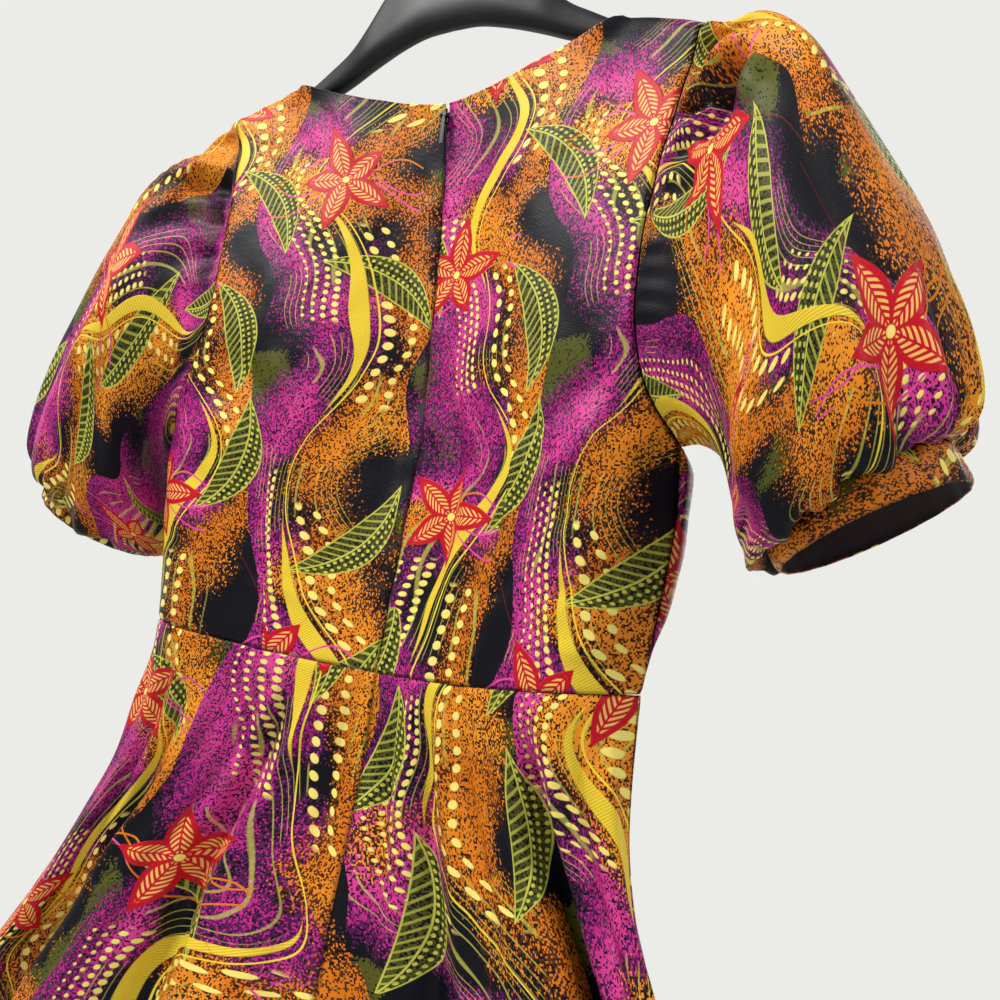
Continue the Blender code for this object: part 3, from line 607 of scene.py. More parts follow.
def skirt_point(u, down):
    x, y, drop = waist_point(u)
    ring_x, ring_y = ring_direction(u)
    half = read(SKIRT, 1, down)
    side_y = read(SKIRT, 2, down)
    reach = np.where(ring_y < 0, side_y - read(SKIRT, 3, down), read(SKIRT, 4, down) - side_y)
    lift = fold_height(u, down)
    long_way = np.stack((ring_x / half, ring_y / np.maximum(reach, 0.02)))
    out = long_way / np.linalg.norm(long_way, axis=0)
    plan_x = np.copysign(np.abs(ring_x) ** 0.92, ring_x)
    plan_y = np.copysign(np.abs(ring_y) ** 0.8, ring_y)
    blend = smooth(down, 0.0, 0.16)
    x = x + blend * (plan_x * half - x) + lift * out[0]
    y = y + blend * (side_y + plan_y * reach - y) + lift * out[1]
    return x, y, drop + down


def skirt_panel(start, end, columns):
    """Grid, cloth places and seam distance of a skirt panel."""
    near = 0.0015 / QUARTER_WAIST
    ends = np.array((0.0, 0.5 * near, near, 2.2 * near))
    u = np.linspace(start + 4.0 * near, end - 4.0 * near, columns)
    u = np.concatenate((start + ends, u, end - ends[::-1]))
    down = np.concatenate(((0.0, 0.0006, 0.0014, 0.003), np.linspace(0.006, 0.370, 96)))
    down = np.concatenate((down, (0.3735, 0.3765, SKIRT_LENGTH)))
    u, down = np.meshgrid(u, down)
    x, y, drop = skirt_point(u, down)
    grid = place(x, y, drop + SEAM_GAP)
    for column, at, inwards in ((0, start, 1.0), (-1, end, -1.0)):
        if at % 2.0 == 1.0:
            turn = 1.0 if at % RING == 1.0 else -1.0
            grid[:, column, 1] += turn * inwards * SEAM_GAP / 2
        else:
            grid[:, column, 0] = inwards * SEAM_GAP / 2
    normals = grid_normals(grid, False)
    width = QUARTER_WAIST + (QUARTER_HEM - QUARTER_WAIST) * down / SKIRT_LENGTH
    sides = np.minimum((u - start) * width, (end - u) * width)
    seam = np.minimum(sides, down + 0.0005)
    lift = RIPPLE_SCALE * ripple_height(u, down) * smooth(seam, 0.0, 0.01)
    lift += UNEVEN * np.sin(u * 61.0) * np.sin(down * 90.0 + u * 20.0) * smooth(seam, 0.0, 0.01)
    lift += edge_sink(sides, 0.0010, 0.0018) + edge_sink(down, 0.0008, 0.0022)
    lift -= 0.0006 * bell((SKIRT_LENGTH - down - HEM_TURN) / 0.0015)
    grid += normals * lift[..., None]
    radius = 0.42 + down
    turn = (u - (start + end) / 2) * 0.45
    cloth = np.stack((radius * np.sin(turn), radius * np.cos(turn) - 0.42), axis=-1)
    return grid, cloth, seam


# Sleeves


SLEEVE_ROWS = np.concatenate(((0.0, 0.003, 0.007), np.linspace(0.013, 0.955, 98)))
SLEEVE_ROWS = np.concatenate((SLEEVE_ROWS, (0.964, 0.972, 0.979, 0.985, 0.990, 0.995, 1.0)))
CUFF_SAG = 0.0065


def armhole_loop(back, front):
    """The right armhole's edge, tip, back, underarm, front: points and the way outwards."""
    count = len(ARM_ROWS)
    loop, ways = [], []
    for grid in (back, front):
        points = grid[:count, -1]
        along = np.gradient(points, axis=0)
        along /= np.linalg.norm(along, axis=1, keepdims=True)
        way = np.array((1.0, 0.0, 0.0)) - along * along[:, :1]
        loop.append(points)
        ways.append(way / np.linalg.norm(way, axis=1, keepdims=True))
    joined = []
    for back_part, front_part in (loop, ways):
        tip = (back_part[0] + front_part[0]) / 2
        under = (back_part[-1] + front_part[-1]) / 2
        joined.append(np.vstack((tip, back_part[1:-1], under, front_part[-2:0:-1])))
    joined[1] /= np.linalg.norm(joined[1], axis=1, keepdims=True)
    return joined


def loop_angles(loop, under_index):
    """Degrees round the loop by arc length: 0 at the tip, 180 at the underarm."""
    spans = np.linalg.norm(np.roll(loop, -1, axis=0) - loop, axis=1)
    back = np.concatenate(([0.0], np.cumsum(spans[:under_index])))
    front = np.concatenate(([0.0], np.cumsum(spans[under_index:])))
    return np.concatenate((back / back[-1], 1.0 + front[1:-1] / front[-1])) * 180.0


def sleeve_ring(along, degrees):
    """Points of the sleeve's sections."""
    outer_x, outer_drop, inner_x, inner_drop, centre_y, half_depth = (
        read(SLEEVE, column, along) for column in range(1, 7)
    )
    turn = np.radians(degrees)
    middle = place((outer_x + inner_x) / 2, centre_y, (outer_drop + inner_drop) / 2)
    up = place(outer_x, centre_y, outer_drop) - middle
    depth = np.stack((0 * turn, -half_depth * np.sin(turn), 0 * turn), axis=-1)
    return middle + up * np.cos(turn)[..., None] + depth


def sleeve_lift(along, degrees, seed, tucked):
    """Pleats at the head, soft folds down the sleeve and gathers at the cuff."""
    lift = np.zeros_like(along)
    for centre, depth, width, end in HEAD_PLEATS:
        head = hump(along, 0.012, 0.08, 0.14, end)
        wider = width * (1.0 + 1.6 * along)
        lift += depth * head * bell(apart(degrees, centre, 360.0) / wider)
    for top, bottom, width, height, start, end in SLEEVE_FOLDS:
        centre = top + (bottom - top) * along + seed * 4.0
        grown = hump(along, start, start + 0.25, end - 0.2, end)
        grown *= 1.0 - smooth(along, 0.90, 0.99)
        lift += height * grown * bell(apart(degrees, centre, 360.0) / width)
    gathered = hump(along, 0.62, 0.90, 0.94, 0.995)
    outer_side = 0.35 + 0.65 * np.cos(np.radians(degrees / 2.0)) ** 2
    lift += GATHER_DEPTH * gathered * outer_side * np.cos(np.radians(CUFF_GATHERS * degrees))
    wobble = np.radians(31.0 * degrees) + 1.7 * np.sin(np.radians(3.0 * degrees) + seed)
    fine = hump(along, 0.68, 0.93, 0.965, 0.999)
    lift += FINE_GATHER_DEPTH * fine * outer_side * np.sin(wobble)
    crown = hump(along, 0.03, 0.15, 0.35, 0.65)
    lift -= CROWN_SINK * crown * bell(apart(degrees, CROWN_PLACE, 360.0) / CROWN_WIDTH)
    round_way = apart(degrees, TUCK_PLACE[0], 360.0) / TUCK_SIZE[0]
    long_way = (along - TUCK_PLACE[1]) / TUCK_SIZE[1]
    tuck = np.hypot(round_way, long_way)
    lift -= tucked * TUCK_DEPTH * (1.0 - smooth(tuck, 0.50, 1.10))
    outer = smooth((long_way - round_way) / np.maximum(tuck, 0.01), -0.5, 0.8)
    lift += tucked * TUCK_LIP * bell((tuck - 1.40) / 0.30) * outer
    near = hump(along, 0.0, 0.03, 0.05, 0.20)
    lift += 0.0007 * near * np.sin(np.radians(43.0 * degrees) + 2.0 * seed)
    return lift


def cuff_axis():
    """The direction in which the right cuff faces, and the middle of its upper edge."""
    last = SLEEVE[-1]
    outer = place(last[1], last[5], last[2])
    inner = place(last[3], last[5], last[4])
    across = (outer - inner) / np.linalg.norm(outer - inner)
    return np.cross((0.0, 1.0, 0.0), across), (outer + inner) / 2


def sleeve_parts(loop, ways, angles, seed, tucked):
    """Grid, cloth places and seam distance of the right sleeve, and the same of its cuff."""
    start = loop + ways * SLEEVE_SEAM_GAP
    along, degrees = np.meshgrid(SLEEVE_ROWS, angles, indexing="ij")
    blend = smooth(along, 0.0, SLEEVE_BLEND)[..., None]
    leaving = start[None] + ways[None] * (SLEEVE_LEAVE * along[..., None])
    grid = leaving * (1.0 - blend) + sleeve_ring(along, degrees) * blend
    normals = -grid_normals(grid, True)
    normals[0] = normals[1]
    axis, middle = cuff_axis()
    outwards = grid[-1] - middle
    outwards -= np.outer(outwards @ axis, axis)
    outwards /= np.linalg.norm(outwards, axis=1, keepdims=True)
    lift = sleeve_lift(along, degrees, seed, tucked)
    lift += edge_sink(along * 0.30, 0.0008, 0.0025)
    sag = hump(along, 0.78, 0.96, 0.965, 0.999)
    sag = sag * np.abs(np.sin(np.radians(degrees))) ** 0.7
    sag = sag * (1.0 + 0.22 * np.sin(np.radians(11.0 * degrees) + seed))
    grid += normals * (lift + 0.0022 * sag)[..., None] + axis * (CUFF_SAG * sag)[..., None]
    full = np.concatenate((angles, (360.0,)))
    reach = np.concatenate((along, along[:, :1]), axis=1)
    wide = np.broadcast_to(full * SLEEVE_CUT[0] / 360.0, reach.shape)
    cloth = np.stack((wide, reach * SLEEVE_CUT[1]), axis=-1)
    seam = np.minimum(along, 1.0 - along) * 0.32
    widths = MILLI * np.array((0, 0.6, 1.5, 4, 8, 11.5, 15, 19, 21.5, 22.6, 23))[:, None]
    swell = 0.0016 * (1.0 - (2.0 * widths / CUFF_WIDTH - 1.0) ** 6) - 0.0008
    swell = swell + 0.0004 * np.sin(np.radians(19.0 * angles) + seed)[None]
    swell = swell + 0.0003 * np.sin(np.radians(47.0 * angles))[None] * (1.0 - widths / CUFF_WIDTH)
    cuff = grid[-1][None] + axis * (SEAM_GAP + widths)[..., None] + outwards[None] * swell[..., None]
    spread = np.broadcast_to(full * CUFF_CUT / 360.0, (len(widths), len(full)))
    deep = np.broadcast_to(widths, spread.shape)
    band = np.stack((spread, deep), axis=-1)
    cuff_seam = np.broadcast_to(np.minimum(widths, CUFF_WIDTH - widths), swell.shape)
    return grid, cloth, seam, cuff, band, cuff_seam


# Node trees


class Field:
    """A number that varies over a surface: a socket of a node tree, with arithmetic."""

    def __init__(self, tree, socket):
        self.tree = tree
        self.socket = socket

    def math(self, operation, *others, clamp=False):
        node = self.tree.nodes.new("ShaderNodeMath")
        node.operation = operation
        node.use_clamp = clamp
        for slot, value in zip(node.inputs, (self, *others)):
            if isinstance(value, Field):
                self.tree.links.new(value.socket, slot)
            else:
                slot.default_value = value
        return Field(self.tree, node.outputs[0])

    def __add__(self, other):
        return self.math("ADD", other)

    def __sub__(self, other):
        return self.math("SUBTRACT", other)

    def __rsub__(self, other):
        return self.math("MULTIPLY_ADD", -1.0, other)

    def __mul__(self, other):
        return self.math("MULTIPLY", other)

    def __truediv__(self, other):
        return self.math("DIVIDE", other)

    def sin(self):
        return self.math("SINE")

    def floor(self):
        return self.math("FLOOR")

    def abs(self):
        return self.math("ABSOLUTE")

    def cell(self):
        """The place in its cell of length 1, from -0.5 to 0.5."""
        return self - self.floor() - 0.5

    def below(self, edge, soft):
        """1 below the edge, 0 above it, over the width soft."""
        return (edge - self).above(0.0, soft)

    def above(self, edge, soft):
        """0 below the edge, 1 above it, over the width soft."""
        return ((self - edge) / soft).math("ADD", 0.5, clamp=True)


def vector(x, y):
    node = x.tree.nodes.new("ShaderNodeCombineXYZ")
    for slot, value in zip(node.inputs, (x, y)):
        x.tree.links.new(value.socket, slot)
    return node.outputs[0]


def length(x, y):
    return (x * x + y * y).math("SQRT")


def soft_noise(tree, where, scale, detail, dimensions):
    node = tree.nodes.new("ShaderNodeTexNoise")
    node.noise_dimensions = dimensions
    node.inputs["Scale"].default_value = scale
    node.inputs["Detail"].default_value = detail
    tree.links.new(where, node.inputs["Vector"])
    return Field(tree, node.outputs[0])


def noise(x, y, scale, detail=1.0):
    """Soft noise about 0.5 over a plane."""
    return soft_noise(x.tree, vector(x, y), scale, detail, "2D")


def mottled(tree, scale, detail=2.0):
    """Soft noise about 0.5 through the solid."""
    source = tree.nodes.new("ShaderNodeTexCoord")
    return soft_noise(tree, source.outputs["Object"], scale, detail, "3D")


def chance(x, y):
    """Three even random numbers for a whole-number place."""
    node = x.tree.nodes.new("ShaderNodeTexWhiteNoise")
    node.noise_dimensions = "2D"
    x.tree.links.new(vector(x, y), node.inputs["Vector"])
    parts = x.tree.nodes.new("ShaderNodeSeparateColor")
    x.tree.links.new(node.outputs["Color"], parts.inputs[0])
    return [Field(x.tree, socket) for socket in parts.outputs]


def painted(base, colour, cover):
    """A colour laid over the base where cover is 1."""
    tree = cover.tree
    node = tree.nodes.new("ShaderNodeMix")
    node.data_type = "RGBA"
    tree.links.new(cover.socket, node.inputs[0])
    for slot, value in ((node.inputs[6], base), (node.inputs[7], colour)):
        if isinstance(value, tuple):
            slot.default_value = (*value, 1.0)
        else:
            tree.links.new(value, slot)
    return node.outputs[2]


def turned(x, y, angle):
    """The place turned by an angle field."""
    cosine, sine = angle.math("COSINE"), angle.sin()
    return x * cosine + y * sine, y * cosine - x * sine


def scattered(x, y, wide, high, wander, seed):
    """Places measured from a jittered lattice's points, with three random numbers a point."""
    column = (x / wide + seed).floor()
    shifted = y / high + column * 0.5 + seed * 0.7
    row = shifted.floor()
    lots = chance(column + 13.0 * seed, row)
    local_x = (x / wide + seed - column - 0.5 - (lots[0] - 0.5) * wander) * wide
    local_y = (shifted - row - 0.5 - (lots[1] - 0.5) * wander) * high
    return local_x, local_y, lots


# Width between the ribbons, and size of a fleck, in cm
PERIOD = 13.5
FLECK_WIDTH = 0.080
FLECK_LENGTH = 0.110
# Relief of the jacquard, and half width of the groove at a seam, whose dark line is painted shade, in m
YARN_RELIEF = 0.00042
SEAM_LINE = 0.0011
# Jacquard colours, linear
INK = (0.0042, 0.0040, 0.0075)
BROWN = (0.085, 0.022, 0.004)
ORANGE = (0.620, 0.165, 0.009)
AMBER = (0.780, 0.270, 0.018)
MAGENTA = (0.460, 0.018, 0.215)
PINK = (0.700, 0.062, 0.290)
PURPLE = (0.088, 0.009, 0.078)
OLIVE = (0.072, 0.078, 0.010)
LIME = (0.500, 0.500, 0.075)
YELLOW = (0.800, 0.600, 0.045)
STRAW = (0.520, 0.310, 0.016)
CREAM = (0.840, 0.700, 0.170)
CRIMSON = (0.480, 0.006, 0.018)
GOLD = (0.820, 0.500, 0.130)


def jacquard_group():
    """The woven design: regions, ribbons, dotted rows, leaves, stems and flowers, in cm."""
    tree = bpy.data.node_groups.new("jacquard", "ShaderNodeTree")
    tree.interface.new_socket("Place", in_out="INPUT", socket_type="NodeSocketVector")
    for name, kind in (("Color", "Color"), ("Height", "Float"), ("Roughness", "Float")):
        tree.interface.new_socket(name, in_out="OUTPUT", socket_type="NodeSocket" + kind)
    source = tree.nodes.new("NodeGroupInput")
    target = tree.nodes.new("NodeGroupOutput")
    split = tree.nodes.new("ShaderNodeSeparateXYZ")
    tree.links.new(source.outputs[0], split.inputs[0])
    x = Field(tree, split.outputs[0]) * 100.0
    y = Field(tree, split.outputs[1]) * 100.0
    grain = chance((x / FLECK_WIDTH).floor(), (y / FLECK_LENGTH).floor())
    fleck = grain[0]
    sway = noise(x, y, 0.060) - 0.5
    broad = noise(x + 31.0, y + 9.0, 0.105)
    third = noise(x + 5.0, y + 88.0, 0.150)

    warped = x + sway * 10.0
    column = (warped / PERIOD).floor()
    lots = chance(column, column + 4.0)
    phase = lots[0] * 6.283
    slow = y * 0.262 + phase
    quick = y * 0.571 + lots[1] * 6.283
    middle = (column + 0.5) * PERIOD + slow.sin() * 2.3 + quick.sin() * 0.8
    slope = slow.math("COSINE") * 0.60 + quick.math("COSINE") * 0.46
    away = (warped - middle) / (slope * slope + 1.0).math("SQRT")

    def speckled(depth, width, most):
        """1 where flecks fill in: none outside, most of them well inside."""
        share = (depth / width + 0.5).math("MINIMUM", most)
        return (share - fleck).above(0.0, 0.04)

    # Speckled regions on the dark ground
    orange_depth = (away + (broad - 0.50) * 17.0 - 0.4).math(
        "MINIMUM", away * -1.0 + 5.6 + (third - 0.5) * 9.0
    )
    plum_depth = (away * -1.0 + (third - 0.50) * 16.0 + 0.6).math(
        "MINIMUM", away + 6.0 + (broad - 0.5) * 9.0
    )
    orange = speckled(orange_depth, 2.8, 0.86)
    plum = speckled(plum_depth, 3.0, 0.84)
    olive = speckled((third - 0.60) * 26.0, 1.8, 0.90)
    warm = painted(ORANGE, AMBER, broad.above(0.56, 0.16))
    warm_share = (orange_depth / 7.0 + 0.40).math("MINIMUM", 0.86)
    warm = painted(BROWN, warm, (warm_share - grain[1]).above(0.0, 0.08))
    rosy = painted(MAGENTA, PINK, plum_depth.above(3.0, 3.0))
    rosy_share = (plum_depth / 5.5 + 0.20).math("MINIMUM", 0.84)
    rosy = painted(PURPLE, rosy, (rosy_share - grain[1]).above(0.0, 0.08))
    colour = painted(INK, OLIVE, olive)
    colour = painted(colour, rosy, plum)
    colour = painted(colour, warm, orange)

    # Fine lines that follow the ribbons
    strand = (away * 1.35 + sway * 6.0).sin() * 0.55 + away
    comb = (strand / 0.62).cell().abs().below(0.075, 0.05)
    comb = comb * third.below(0.47, 0.04) * away.abs().below(4.6, 0.4)
    colour = painted(colour, LIME, comb * 0.55)

    # Dotted rows beside the ribbons
    def rows(distance, first, gap, pitch, radius, fall, count, show):
        order = ((distance - first) / gap).floor()
        local = (distance - first) - (order + 0.5) * gap
        beat = y / pitch + order * 0.5
        along = beat.cell() * pitch
        size = order * -fall + radius
        inside = (size - length(local, along)).above(0.0, 0.05)
        return inside * order.above(-0.5, 0.1) * order.below(count - 0.5, 0.1) * show

    show_right = (y * 0.31 + phase).sin().above(-0.45, 0.1)
    show_left = (y * 0.27 + phase + 2.4).sin().above(-0.10, 0.1)
    dots = rows(away, 0.75, 1.25, 0.98, 0.285, 0.035, 2.0, show_right)
    dots = dots.math("MAXIMUM", rows(away * -1.0, 0.9, 0.68, 0.58, 0.200, 0.028, 4.0, show_left))
    colour = painted(colour, CREAM, dots)

    # Leaves drawn in lines and fine dots
    leaf_x, leaf_y, leaf_lots = scattered(x, y, 10.5, 9.0, 0.34, 0.37)
    leaf_x, leaf_y = turned(leaf_x, leaf_y, leaf_lots[2] * 2.6 + 0.5)
    bend = leaf_y - leaf_x * leaf_x * 0.075 + 0.7
    room = (leaf_x * leaf_x) * -0.062 + 1.30
    inside = room - bend.abs()
    leaf = inside.above(0.0, 0.06) * leaf_lots[0].above(0.58, 0.02)
    across = bend / 0.42
    beside = leaf_x / 0.42
    specks = length(beside.cell(), across.cell()).below(0.27, 0.08) * bend.below(0.0, 0.1)
    ribs = ((leaf_x * 1.2 - bend) * 9.0).sin().above(0.55, 0.3) * bend.above(0.0, 0.1)
    edge = inside.below(0.09, 0.04)
    vein = bend.abs().below(0.06, 0.03)
    marks = specks.math("MAXIMUM", ribs * 0.6).math("MAXIMUM", edge).math("MAXIMUM", vein)
    ground = painted(INK, OLIVE, (grain[2] - 0.2 - inside * 0.3).above(0.0, 0.1))
    colour = painted(colour, painted(ground, LIME, marks), leaf)

    # Ribbons
    wide = (y * 0.262 + phase * 1.7 + 0.8).sin() * 0.33 + 0.18
    ribbon = (wide - away.abs()).above(0.0, 0.05)
    hatch = ((x + y * 1.35) * 24.0).sin().above(0.1, 0.5)
    colour = painted(colour, painted(YELLOW, STRAW, hatch * 0.6), ribbon)
    thread = (away - wide * 1.2 - 0.34).abs().below(0.050, 0.03)
    colour = painted(colour, YELLOW, thread)

    # Stems and flowers
    bloom_x, bloom_y, bloom_lots = scattered(x, y, 13.0, 15.5, 0.34, 0.11)
    there = bloom_lots[2].above(0.30, 0.02)
    stems = None
    for rise, beat, offset in ((0.9, 0.75, 0.3), (-0.7, 0.95, -0.7), (1.3, 0.55, 1.4)):
        curve = bloom_y - (bloom_x * beat + bloom_lots[0] * 6.0).sin() * rise - offset
        line = curve.abs().below(0.065, 0.03)
        stems = line if stems is None else stems.math("MAXIMUM", line)
    stems = stems * bloom_x.abs().below(5.8, 0.3) * there
    colour = painted(colour, painted(ORANGE, PINK, third.above(0.5, 0.05)), stems)
    reach = length(bloom_x, bloom_y)
    angle = bloom_y.math("ARCTAN2", bloom_x) + bloom_lots[1] * 6.283
    fifth = angle * (5.0 / 6.2832)
    order = fifth.floor()
    lobe = (fifth - order - 0.5).abs() * 1.2566
    long = (order * 2.4 + bloom_lots[0] * 6.0).sin() * 0.7 + 3.9
    along = reach * lobe.math("COSINE") / long
    beside = reach * lobe.sin()
    petal_room = (along.math("POWER", 0.75) * 3.1416).sin() * 0.92
    petal_room = petal_room * along.below(1.0, 0.01)
    petal = (petal_room - beside).above(0.0, 0.06) * there
    inner = (petal_room - beside).above(0.34, 0.08)
    lines = ((reach * 1.1 + beside) * 15.0).sin().above(0.0, 0.5)
    bloom = painted(CRIMSON, GOLD, inner * lines * 0.92)
    bloom = painted(bloom, CRIMSON, beside.below(0.055, 0.03))
    bloom = painted(bloom, CREAM, reach.below(0.26, 0.06))
    colour = painted(colour, bloom, petal)

    # Yarn relief
    weft = (y * 70.0).sin() * 0.5 + (x * 76.0).sin() * 0.3
    raised = dots.math("MAXIMUM", ribbon).math("MAXIMUM", petal)
    height = raised * 0.9 + weft * 0.14 + (fleck - 0.5) * 0.22
    rough = raised * -0.08 + 0.42 + (fleck - 0.5) * 0.08
    tree.links.new(colour, target.inputs[0])
    tree.links.new(height.socket, target.inputs[1])
    tree.links.new(rough.socket, target.inputs[2])
    return tree


def bare_material(name):
    """A new material's tree and its shader."""
    made = bpy.data.materials.new(name)
    made.use_nodes = True
    return made, made.node_tree, made.node_tree.nodes["Principled BSDF"]


def split_place(tree, kind, output):
    """The parts of a place that a node gives."""
    node = tree.nodes.new(kind)
    if kind == "ShaderNodeUVMap":
        node.uv_map = "cloth"
    split = tree.nodes.new("ShaderNodeSeparateXYZ")
    tree.links.new(node.outputs[output], split.inputs[0])
    return [Field(tree, socket) for socket in split.outputs]


def relief(shader, height, distance, strength):
    tree = height.tree
    bump = tree.nodes.new("ShaderNodeBump")
    bump.inputs["Distance"].default_value = distance
    bump.inputs["Strength"].default_value = strength
    tree.links.new(height.socket, bump.inputs["Height"])
    tree.links.new(bump.outputs[0], shader.inputs["Normal"])


def jacquard(name, group, offset, turn=0.0):
    """The jacquard on one piece, cut from its own place in the cloth."""
    made, tree, shader = bare_material(name)
    layer = tree.nodes.new("ShaderNodeUVMap")
    layer.uv_map = "cloth"
    move = tree.nodes.new("ShaderNodeMapping")
    move.inputs["Location"].default_value = (*offset, 0.0)
    move.inputs["Rotation"].default_value = (0.0, 0.0, math.radians(turn))
    woven = tree.nodes.new("ShaderNodeGroup")
    woven.node_tree = group
    tree.links.new(layer.outputs[0], move.inputs[0])
    tree.links.new(move.outputs[0], woven.inputs[0])
    held = tree.nodes.new("ShaderNodeAttribute")
    held.attribute_name = "seam"
    # Near a seam the relief sinks into a groove, and the colour there is darkened towards INK: painted
    # shade of the groove.
    groove_with_painted_shade = Field(tree, held.outputs["Fac"]).below(SEAM_LINE, 0.0012)
    colour = painted(woven.outputs[0], INK, groove_with_painted_shade * 0.40)
    tree.links.new(colour, shader.inputs["Base Color"])
    tree.links.new(woven.outputs[2], shader.inputs["Roughness"])
    relief(shader, Field(tree, woven.outputs[1]) - groove_with_painted_shade * 2.0, YARN_RELIEF, 0.9)
    shader.inputs["Specular IOR Level"].default_value = 0.12
    return made


def finish(shader, shades, rough, bump=None):
    """Two shades mixed by a field, a roughness that is a number or a field, and a relief."""
    links = shades[2].tree.links
    links.new(painted(*shades), shader.inputs["Base Color"])
    if isinstance(rough, Field):
        links.new(rough.socket, shader.inputs["Roughness"])
    else:
        shader.inputs["Roughness"].default_value = rough
    if bump:
        relief(shader, *bump)


def lining():
    """The plain dark lining cloth inside."""
    made, tree, shader = bare_material("lining")
    x, y, _ = split_place(tree, "ShaderNodeUVMap", "UV")
    weave = (x * 9000.0).sin() * (y * 9000.0).sin()
    shade = noise(x, y, 9.0, 3.0).above(0.5, 0.4)
    finish(shader, ((0.016, 0.006, 0.009), (0.028, 0.010, 0.015), shade), 0.55, (weave, 0.0001, 0.5))
    shader.inputs["Sheen Weight"].default_value = 0.15
    return made


def plastic():
    """Moulded black hanger plastic with fine grain and soft scuffs."""
    made, tree, shader = bare_material("hanger plastic")
    worn = mottled(tree, 34.0, 5.0)
    shades = (0.007, 0.008, 0.010), (0.013, 0.014, 0.017), worn.above(0.5, 0.3)
    finish(shader, shades, worn * 0.16 + 0.38, (mottled(tree, 1400.0), 0.00015, 0.5))
    shader.inputs["Specular IOR Level"].default_value = 0.22
    return made


def metal(name, colour, rough):
    """Lacquered or polished metal with faint handling marks."""
    made, tree, shader = bare_material(name)
    value = mottled(tree, 900.0, 4.0)
    shades = colour, tuple(0.6 * part for part in colour), value.above(0.55, 0.2)
    finish(shader, shades, value * 0.2 + rough, (value, 0.00005, 0.4))
    shader.inputs["Metallic"].default_value = 1.0
    return made


def tape_cloth():
    """Black woven zip tape with a herringbone."""
    made, tree, shader = bare_material("zip tape")
    x, _, z = split_place(tree, "ShaderNodeTexCoord", "Object")
    bone = (z * 5200.0 + (x * 2600.0).sin() * 2.2).sin()
    shades = (0.008, 0.008, 0.012), (0.022, 0.021, 0.030), bone.above(0.0, 0.8)
    finish(shader, shades, 0.75, (bone, 0.0001, 0.6))
    return made


def nylon():
    """Dark moulded nylon for the zip's coil."""
    made, tree, shader = bare_material("zip coil")
    value = mottled(tree, 700.0).above(0.5, 0.3)
    finish(shader, ((0.016, 0.014, 0.014), (0.050, 0.040, 0.034), value), 0.32)
    return made


# Meshes


def shell(name, outer, cloth, seam, looks, closed=False, out=1.0, shifts=None):
    """A thin closed shell with a lining inside. out is 1 where row x column points outwards."""
    rows, columns = outer.shape[:2]
    normals = grid_normals(outer, closed) * out
    inner = outer - normals * WALL
    count = rows * columns
    order = np.arange(count).reshape(rows, columns)
    beside = np.roll(order, -1, axis=1) if closed else order[:, 1:]
    first = order if closed else order[:, :-1]
    corners = (first[:-1], beside[:-1], beside[1:], first[1:])
    outside = np.stack(corners, axis=-1).reshape(-1, 4)
    if out > 0:
        outside = outside[:, ::-1]
    inside = outside[:, ::-1] + count
    spans = columns if closed else columns - 1
    upper, lower = cloth[:-1], cloth[1:]
    ends = slice(1, spans + 1)
    uv = np.stack((upper[:, :spans], upper[:, ends], lower[:, ends], lower[:, :spans]), axis=2)
    if shifts is not None:
        uv = uv.copy()
        uv[..., 0] += shifts[..., None]
    uv = uv.reshape(-1, 4, 2)
    if out > 0:
        uv = uv[:, ::-1]
    rims, rim_uv = [], []

    def rim(line, line_uv, turn):
        for k in range(len(line) - 1):
            quad = [line[k], line[k + 1], line[k + 1] + count, line[k] + count]
            spots = [line_uv[k], line_uv[k + 1], line_uv[k + 1], line_uv[k]]
            rims.append(quad[::-1] if turn else quad)
            rim_uv.append(spots[::-1] if turn else spots)

    for row, turn in ((0, out < 0), (-1, out > 0)):
        line = np.append(order[row], order[row][0]) if closed else order[row]
        rim(line, cloth[row, : len(line)], turn)
    if not closed:
        rim(order[:, 0], cloth[:, 0], out > 0)
        rim(order[:, -1], cloth[:, -1], out < 0)
    faces = np.concatenate((outside, inside, np.array(rims)))
    uvs = np.concatenate((uv, uv[:, ::-1], np.array(rim_uv)))
    mesh = bpy.data.meshes.new(name)
    points = np.concatenate((outer.reshape(-1, 3), inner.reshape(-1, 3)))
    mesh.from_pydata(points.tolist(), [], faces.tolist())
    layer = mesh.uv_layers.new(name="cloth")
    layer.data.foreach_set("uv", uvs.reshape(-1).astype(np.float32))
    marks = np.zeros(len(faces), dtype=np.int32)
    marks[len(outside) : 2 * len(outside)] = 1
    mesh.polygons.foreach_set("material_index", marks)
    held = mesh.attributes.new("seam", "FLOAT", "POINT")
    twice = np.concatenate((seam.reshape(-1), seam.reshape(-1))).astype(np.float32)
    held.data.foreach_set("value", twice)
    mesh.shade_smooth()
    for look in looks:
        mesh.materials.append(look)
    return linked(name, mesh)


def linked(name, mesh):
    made = bpy.data.objects.new(name, mesh)
    bpy.context.scene.collection.objects.link(made)
    return made


def plain_mesh(name, points, faces, look):
    mesh = bpy.data.meshes.new(name)
    mesh.from_pydata([tuple(point) for point in points], [], faces)
    mesh.shade_smooth()
    mesh.materials.append(look)
    return linked(name, mesh)


def own(piece, node):
    """The piece stands for a node of the garment: it goes on the garment's body and the node is hidden.
    """
    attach(piece, "garment")
    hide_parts(node)


